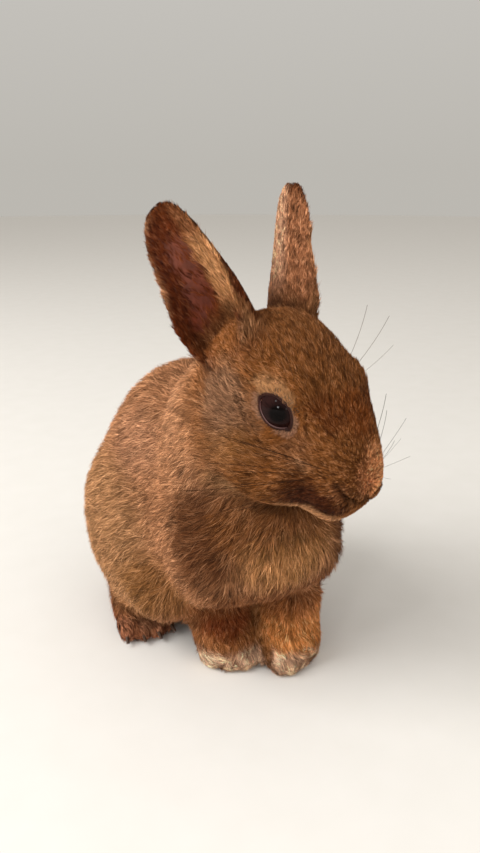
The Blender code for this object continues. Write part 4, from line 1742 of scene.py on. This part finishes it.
DULL_HAIR = {"Roughness": 0.7, "Specular IOR Level": 0.1}
WHISKER = TwoTone("black_whisker_keratin", "#120903", "#3a200e", 14.0, DULL_HAIR)
BROW_HAIR = TwoTone("brown_brow_keratin", "#24160e", "#5a3c28", 14.0, DULL_HAIR)
LASH = TwoTone("dark_lash_keratin", "#1a0f0a", "#3c2518", 3.0, {"Roughness": 0.35, "Specular IOR Level": 0.5})
CLAW = TwoTone("dark_claw_keratin", "#241812", "#5c4436", 4.0, {"Roughness": 0.3, "Specular IOR Level": 0.5})
WET = {"Roughness": 0.08, "Coat Weight": 1.0, "Coat Roughness": 0.02}
TEARS = TwoTone("tear_film_on_lid_edge", "#3a2020", "#6a4440", 1000 / 900, WET, 2.0)
CARD = TwoTone("pale_matt_card", "#dedad3", "#e3dfd9", 1000 / 60, {"Roughness": 0.9}, 2.0)


# ---------- eyes


@dataclass
class Eye:
    """One eyeball with its pupil near the opening's axis, and the wet line along the lower lid."""

    side: Side
    anatomy: Anatomy
    opening: EyeOpening
    rings: int = 72
    columns: int = 96
    gaze: tuple = (6.0, 2.0)  # degrees forward and up of the opening's axis
    tear_radius: float = 0.2
    tear_inward: float = 2.6  # degrees from the lid's crest
    tear_above: float = 0.05  # over the ball

    def build(self) -> list:
        """The ball and the tear line, dressed and riding on the body."""
        return [self.eyeball(), self.tear_line()]

    def eyeball(self) -> Object:
        """The ball, with a map of turns and degrees round the pupil."""
        centre = self.anatomy.eyes[self.side]
        axis = self.anatomy.head_direction(self.opening.directions(np.array([self.gaze]), self.side))[0]
        points, faces, polar, turn = ball(centre, EYE_RADIUS * MM, axis, self.rings, self.columns)
        piece = mesh_object(f"eyeball_{self.side.word}", points, faces)
        layer = piece.data.uv_layers.new(name="Polar")
        u, v = turn[faces], polar[faces] / 180
        wrap = (u.max(1) - u.min(1) > 0.5)[:, None] & (u < 0.5)
        u = np.where(wrap, u + 1, u)
        pole = (v == 0) | (v == 1)
        u = np.where(pole, np.where(pole, -1, u).max(1, keepdims=True), u)
        layer.data.foreach_set("uv", np.stack((u, v), -1).astype(np.float32).ravel())
        piece.data.materials.append(WetEye().material())
        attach(piece, "root")
        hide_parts(f"eye_{self.side.word}")
        return piece

    def tear_line(self) -> Object:
        """A thin tapered tube in the corner between the lower lid and the ball."""
        line = through(self.opening.lower, 60)[3:-2, :2]
        inward = unit(self.opening.margin()[:, :2].mean(0) - line)
        aim = self.opening.directions(line + inward * self.tear_inward, self.side)
        height = (EYE_RADIUS + self.tear_above) * MM
        path = self.anatomy.eyes[self.side] + self.anatomy.head_direction(aim) * height
        thick = self.tear_radius * np.sin(np.linspace(0.05, math.pi - 0.05, len(path))) ** 0.5
        points, faces = tube(path, thick * MM, 8)
        piece = mesh_object(f"tear_line_{self.side.word}", points, faces)
        piece.data.materials.append(TEARS.material())
        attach(piece, "root")
        return piece


# ---------- whiskers, lashes and claws


@dataclass
class Bristles:
    """Tapered, bent hairs or claws, one on each root, made by a node tree."""

    name: str
    slender: float  # radius at the root as a share of the length
    bend: float  # how far the tip bends aside, as a share of the length
    rings: int
    sides: int
    finish: Finish
    varied: float = 0.12
    seed: int = 5
    blunt: float = 0.06

    def tree(self) -> NodeTree:
        """A tree that puts one tapered curve on each point, aimed and scaled by the point's attributes."""
        tree = bpy.data.node_groups.new(f"{self.name}_on_points", "GeometryNodeTree")
        ports = {"Geometry": "Geometry", "Slender": "Float", "Bend": "Float", "Rings": "Int", "Sides": "Int"}
        ports |= {"Blunt": "Float", "Varied": "Float", "Seed": "Int", "Finish": "Material"}
        for name, kind in ports.items():
            tree.interface.new_socket(name, in_out="INPUT", socket_type=f"NodeSocket{kind}")
        tree.interface.new_socket("Geometry", in_out="OUTPUT", socket_type="NodeSocketGeometry")
        port = add_node(tree, "NodeGroupInput").outputs
        solid = self.bristle(tree, port)

        def stored(name: str, kind: str) -> NodeSocket:
            """An attribute of the points."""
            settings = {"data_type": kind, "in:Name": name}
            return add_node(tree, "GeometryNodeInputNamedAttribute", settings).outputs[0]

        aim, lean = stored("Aim", "FLOAT_VECTOR"), stored("Lean", "FLOAT_VECTOR")
        settings = {"primary_axis": "Z", "secondary_axis": "X"}
        axes = {"Primary Axis": aim, "Secondary Axis": lean}
        turn = add_node(tree, "FunctionNodeAxesToRotation", settings, axes)
        least = add_node(tree, "ShaderNodeMath", {"operation": "SUBTRACT", 0: 1.0}, {1: port["Varied"]})
        most = add_node(tree, "ShaderNodeMath", {"operation": "ADD", 0: 1.0}, {1: port["Varied"]})
        limits = {"Seed": port["Seed"], 2: least.outputs[0], 3: most.outputs[0]}
        chance = add_node(tree, "FunctionNodeRandomValue", {"data_type": "FLOAT"}, limits)
        factors = {0: stored("Length", "FLOAT"), 1: chance.outputs[1]}
        scale = add_node(tree, "ShaderNodeMath", {"operation": "MULTIPLY"}, factors)
        links = {"Points": port["Geometry"], "Instance": solid}
        links |= {"Rotation": turn.outputs[0], "Scale": scale.outputs[0]}
        copies = add_node(tree, "GeometryNodeInstanceOnPoints", {}, links)
        real = add_node(tree, "GeometryNodeRealizeInstances", {}, {0: copies.outputs[0]})
        links = {"Geometry": real.outputs[0], "Material": port["Finish"]}
        dressed = add_node(tree, "GeometryNodeSetMaterial", {}, links)
        add_node(tree, "NodeGroupOutput", {}, {0: dressed.outputs[0]})
        return tree

    @staticmethod
    def bristle(tree: NodeTree, port: NodeOutputs) -> NodeSocket:
        """One bristle a metre long, up Z and bent towards X.

        Args:
            tree: the node tree.
            port: the tree's inputs.

        Returns:
            The socket with its mesh.
        """
        tip = add_node(tree, "ShaderNodeCombineXYZ", {"in:Z": 1.0}, {"X": port["Bend"]})
        settings = {"in:Start": (0, 0, 0), "in:Middle": (0, 0, 0.55)}
        links = {"Resolution": port["Rings"], "End": tip.outputs[0]}
        line = add_node(tree, "GeometryNodeCurveQuadraticBezier", settings, links)
        along = add_node(tree, "GeometryNodeSplineParameter")
        power = add_node(tree, "ShaderNodeMath", {"operation": "POWER", 1: 1.6}, {0: along.outputs["Factor"]})
        links = {"Value": power.outputs[0], "To Max": port["Blunt"]}
        taper = add_node(tree, "ShaderNodeMapRange", {"in:To Min": 1.0}, links)
        links = {"Curve": line.outputs[0], "Radius": taper.outputs["Result"]}
        width = add_node(tree, "GeometryNodeSetCurveRadius", {}, links)
        links = {"Resolution": port["Sides"], "Radius": port["Slender"]}
        ring = add_node(tree, "GeometryNodeCurvePrimitiveCircle", {}, links)
        links = {"Curve": width.outputs[0], "Profile Curve": ring.outputs[0]}
        return add_node(tree, "GeometryNodeCurveToMesh", {"in:Fill Caps": True}, links).outputs[0]

    def grow(self, rows: list) -> Object:
        """Puts a bristle on each root.

        Args:
            rows: for each one its root in metres, the way it points, the way its tip bends, and its length
                in millimetres.

        Returns:
            A plain mesh object that rides on the body.
        """
        roots, aims, leans, lengths = (np.array(part) for part in zip(*rows))
        mesh = bpy.data.meshes.new(f"{self.name}_roots")
        mesh.from_pydata(roots.tolist(), [], [])
        for key, ways in (("Aim", unit(aims)), ("Lean", unit(leans))):
            layer = mesh.attributes.new(key, "FLOAT_VECTOR", "POINT")
            layer.data.foreach_set("vector", ways.astype(np.float32).ravel())
        layer = mesh.attributes.new("Length", "FLOAT", "POINT")
        layer.data.foreach_set("value", (lengths * MM).astype(np.float32))
        source = bpy.data.objects.new(f"{self.name}_roots", mesh)
        bpy.context.scene.collection.objects.link(source)
        modifier = source.modifiers.new("Bristles", "NODES")
        modifier.node_group = self.tree()
        for item in modifier.node_group.interface.items_tree:
            if item.in_out == "INPUT" and item.name == "Finish":
                modifier[item.identifier] = self.finish.material()
            elif item.in_out == "INPUT" and item.name != "Geometry":
                modifier[item.identifier] = getattr(self, item.name.lower())
        made = baked_mesh(source)
        made.name = self.name
        made.shade_smooth()
        piece = bpy.data.objects.new(self.name, made)
        bpy.context.scene.collection.objects.link(piece)
        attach(piece, "root")
        return piece


# The long hairs over each eye and on each cheek, in head coordinates: a place, the way it points, a length.
BROW = (
    ((2, 14, 10), (0.1, 0.7, 1.0), 19),
    ((-1, 14, 10.5), (-0.2, 0.6, 1.0), 17),
    ((5, 13, 9), (0.5, 0.6, 1.0), 13),
    ((-13, 22, -12), (-0.5, 1, -0.2), 17),
    ((-11, 22, -14), (-0.3, 1, -0.4), 15),
)


@dataclass
class Face:
    """The whiskers on the muzzle, the few above the eyes and on the cheeks, and the lashes."""

    anatomy: Anatomy
    skin: Skin
    opening: EyeOpening
    rows: int = 3
    columns: int = 5
    shortest: float = 14.0
    longer_by: float = 5.0  # how much longer each whisker is than the one in front of it
    lash: float = 1.9

    def build(self) -> list:
        """Grows every bristle of the face."""
        return [self.whiskers(), self.brow_whiskers(), self.lashes()]

    def on_skin(self, place: tuple) -> Array:
        """The skin's nearest point to a place on the head."""
        return np.array(self.skin.tree.find_nearest(self.anatomy.from_head(place))[0])

    def whiskers(self) -> Object:
        """Rows of long dark whiskers on both pads, shorter towards the nose."""
        rng = np.random.default_rng(12)
        bristles = []
        for side in Side:
            for row in range(self.rows):
                for column in range(self.columns):
                    out = side.value * (7 + 1.6 * column)
                    root = self.on_skin((24.5 - 2.3 * column, out, -9.5 - 2.3 * row - 0.3 * column))
                    back = -0.15 - 0.16 * column + rng.normal(0, 0.10)
                    rise = 0.30 - 0.36 * row + rng.normal(0, 0.08)
                    aim = self.anatomy.head_direction((back, side.value, rise))
                    lean = self.anatomy.head_direction((-0.5, 0.0, -0.8 + 0.3 * row))
                    length = self.shortest + self.longer_by * column + rng.uniform(-2, 3)
                    bristles.append((root, aim, lean, length))
        return Bristles("whiskers", 0.0024, 0.10, 14, 5, WHISKER).grow(bristles)

    def brow_whiskers(self) -> Object:
        """A few long hairs above and behind each eye and on each cheek."""
        lean = self.anatomy.head_direction((-1.0, 0.0, -0.3))
        bristles = []
        for side in Side:
            mirror = np.array((1, side.value, 1))
            for place, way, length in BROW:
                aim = self.anatomy.head_direction(way * mirror)
                bristles.append((self.on_skin(place * mirror), aim, lean, length))
        return Bristles("brow_whiskers", 0.0030, 0.12, 10, 5, BROW_HAIR).grow(bristles)

    def lashes(self) -> Object:
        """Short dark lashes along the upper lids."""
        line = through(self.opening.upper, 34)[3:30, :2]
        outward = unit(line - self.opening.margin()[:, :2].mean(0))
        rng = np.random.default_rng(8)
        bristles = []
        for side in Side:
            near = self.anatomy.head_direction(self.opening.directions(line + outward * 2.5, side))
            far = self.anatomy.head_direction(self.opening.directions(line + outward * 12, side))
            for here, there in zip(near, far):
                root = self.anatomy.eyes[side] + here * (EYE_RADIUS + 0.5) * MM
                lean = unit(there - here)
                aim = here * 0.9 + lean * 0.7 + rng.normal(0, 0.08, 3)
                bristles.append((root, aim, lean, self.lash + rng.uniform(-0.4, 0.5)))
        return Bristles("lashes", 0.035, 0.25, 5, 4, LASH).grow(bristles)


@dataclass
class Claws:
    """The claws of all four feet, each at the front of its toe."""

    anatomy: Anatomy
    skin: Skin
    look_ahead: float = 12.0
    rooted: float = 0.9

    def build(self) -> Object:
        """Grows a curved claw on each of sixteen toes."""
        bristles = []
        for toe in toes():
            way = np.array((math.cos(toe.yaw), math.sin(toe.yaw), 0.0))
            tip = self.anatomy.from_body(np.array(toe.place) + way * self.look_ahead)
            spot = np.array(self.skin.tree.find_nearest(tip)[0])
            ahead = unit(to_frame(way))
            lean = np.array((0, 0, -1.0))
            bristles.append((spot - ahead * self.rooted * MM, ahead + np.array((0, 0, 0.05)), lean, toe.claw))
        return Bristles("claws", 0.17, 0.42, 9, 10, CLAW, varied=0.06, blunt=0.12).grow(bristles)


# ---------- studio


@dataclass
class Studio:
    """A plain pale floor, soft lights, and the camera."""

    anatomy: Anatomy
    floor_radius: float = 3.0
    floor_sides: int = 96
    lens: float = 33.8
    stand: tuple = (-0.119, -0.203, 0.068)  # the camera's place from the head's origin
    heading: float = 25.0
    tilt: float = 18.0
    ambient: float = 0.7
    # Small bright panes that glint in the eyes: the way to each from the head, its side and its power.
    sparks: tuple = (
        ((-0.73, -0.33, 0.52), 0.07, 0.5),
        ((-0.72, -0.61, 0.125), 0.11, 1.3),
        ((-0.195, -0.93, 0.03), 0.06, 0.25),
    )
    spark_reach: float = 0.9

    def build(self) -> None:
        """Lays the floor and sets the lights, the sky and the camera."""
        self.floor()
        self.camera()
        self.light("key", (-1.05, 0.10, 0.75), 1.0, 20.0, glossy=False)
        self.light("fill", (0.4, -1.1, 0.9), 1.2, 4.0, glossy=False)
        for number, (way, size, power) in enumerate(self.sparks):
            self.light(f"window_{number}", tuple(self.spark_reach * part for part in way), size, power)
        self.sky()
        bpy.context.scene.view_settings.view_transform = "Standard"

    def sky(self) -> None:
        """A pale room: as light as the far floor at the horizon, and lighter above."""
        world = bpy.data.worlds.new("pale_room")
        world.use_nodes = True
        tree = world.node_tree
        place = add_node(tree, "ShaderNodeTexCoord")
        part = add_node(tree, "ShaderNodeSeparateXYZ", {}, {0: place.outputs["Generated"]})
        rise = add_node(tree, "ShaderNodeValToRGB", {}, {"Fac": part.outputs["Z"]})
        horizon, above = rise.color_ramp.elements
        horizon.color = rgba("#dcd8d0")
        above.color = rgba("#f4f1ec")
        above.position = 0.5
        shade = tree.nodes["Background"]
        tree.links.new(rise.outputs["Color"], shade.inputs[0])
        shade.inputs[1].default_value = self.ambient
        bpy.context.scene.world = world

    def floor(self) -> None:
        """A wide disc of pale matt card."""
        here = np.arange(self.floor_sides)
        angle = here / self.floor_sides * math.tau
        ring = np.stack((np.cos(angle), np.sin(angle), np.zeros(len(here))), 1) * self.floor_radius
        points = np.concatenate((np.zeros((1, 3)), ring))
        faces = np.stack((np.zeros(len(here), int), 1 + here, 1 + (here + 1) % self.floor_sides), 1)
        disc = mesh_object("floor", points, faces)
        disc.data.materials.append(CARD.material())
        disc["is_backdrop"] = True

    def light(self, name: str, place: tuple, size: float, power: float, glossy: bool = True) -> None:
        """A square soft light aimed at the head's origin.

        Args:
            name: its name.
            place: where it is in metres, from the head's origin.
            size: its side in metres.
            power: in watts.
            glossy: whether wet and shiny surfaces mirror it.
        """
        data = bpy.data.lights.new(name, "AREA")
        data.size = size
        data.energy = power
        lamp = bpy.data.objects.new(name, data)
        lamp.visible_glossy = glossy
        lamp.location = Vector(self.anatomy.head_origin) + Vector(place)
        lamp.rotation_euler = (-Vector(place)).to_track_quat("-Z", "Y").to_euler()
        bpy.context.scene.collection.objects.link(lamp)

    def camera(self) -> None:
        """A short lens near the head, looking down at it."""
        data = bpy.data.cameras.new("camera")
        data.lens = self.lens
        data.sensor_width = 36.0
        data.clip_start = 0.01
        view = bpy.data.objects.new("camera", data)
        view.location = Vector(self.anatomy.head_origin) + Vector(self.stand)
        view.rotation_euler = Euler((math.radians(90 - self.tilt), 0, math.radians(-self.heading)))
        bpy.context.scene.collection.objects.link(view)
        bpy.context.scene.camera = view


# ---------- the whole rabbit


FORWARD, LATERAL = 0, 1
FAR = 1000.0
FACE_BACK = 2.0  # where the coat of the face ends and the cheeks' begins
CHEST_BACK = -14.0  # where the chest's ends and the back's begins


def coats(lie: Lie) -> list:
    """Every piece of the coat and its finish. A portion is a stretch forward or to the left."""
    fur, paw, ear = Fur("agouti_fur"), Fur("rufous_paw_fur"), Fur("velvet_ear_fur")
    halves = {"right": (LATERAL, -FAR, 0.0), "left": (LATERAL, 0.0, FAR)}
    stretches = {
        "face": (Region.HEAD, FACE_BACK, FAR),
        "cheek": (Region.HEAD, -FAR, FACE_BACK),
        "chest": (Region.TRUNK, CHEST_BACK, FAR),
        "back": (Region.TRUNK, -FAR, CHEST_BACK),
    }
    plan = [
        (f"coat_{part}_{side}", (region,), "coat", (half, (FORWARD, start, end)), fur)
        for part, (region, start, end) in stretches.items()
        for side, half in halves.items()
    ]
    plan.insert(4, ("coat_neck", (Region.NECK,), "coat", (), fur))
    plan += [
        ("coat_thigh_right", (Region.THIGH_RIGHT,), "coat", (), fur),
        ("coat_thigh_left", (Region.THIGH_LEFT,), "coat", (), fur),
        ("coat_tail", (Region.TAIL,), "coat", (), fur),
        ("coat_forelegs", (Region.FORELEG_LEFT, Region.FORELEG_RIGHT), "paw", (), paw),
        ("coat_hind_feet", (Region.HIND_FOOT_LEFT, Region.HIND_FOOT_RIGHT), "paw", (), paw),
        ("coat_ear_right", (Region.EAR_RIGHT,), "ear", (), ear),
        ("coat_ear_left", (Region.EAR_LEFT,), "ear", (), ear),
    ]
    return [
        (Coat(name, regions, lie, slot, portion, seed=20 + number), finish)
        for number, (name, regions, slot, portion, finish) in enumerate(plan)
    ]


def bare_skin(skin: Skin, lie: Lie) -> Object:
    """The skin as a piece, in the place of all the nodes of flesh."""
    hide = mesh_object("skin", skin.points, skin.triangles)
    set_colour(hide.data, lie.skin_colour())
    hide.data.materials.append(Hide("bare_skin").material())
    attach(hide, "root")
    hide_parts(*(region.value for region in REGIONS))
    return hide


def log_piece(piece: Object) -> None:
    """Reports a piece's name and size."""
    LOG.info("%s: %d faces", piece.name, len(piece.data.polygons))


def main() -> None:
    """Builds the rabbit over its solids and sets the studio round it."""
    logging.basicConfig(level=logging.INFO, format="%(message)s")
    solids_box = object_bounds()
    anatomy, opening = Anatomy(), EyeOpening()
    Studio(anatomy).build()

    skin = Skin(anatomy, opening)
    skin.build()
    lie = Lie(skin)
    lie.build()
    log_piece(bare_skin(skin, lie))
    for side in Side:
        for piece in Eye(side, anatomy, opening).build():
            log_piece(piece)
    for coat, finish in coats(lie):
        piece = coat.build(finish)
        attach(piece, "root")
        log_piece(piece)
    for piece in Face(anatomy, skin, opening).build():
        log_piece(piece)
    log_piece(Claws(anatomy, skin).build())

    boxes = {"solids": solids_box, "looks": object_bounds()}
    sizes = {key: [list(corner) for corner in box] for key, box in boxes.items()}


if __name__ == "__main__":
    main()
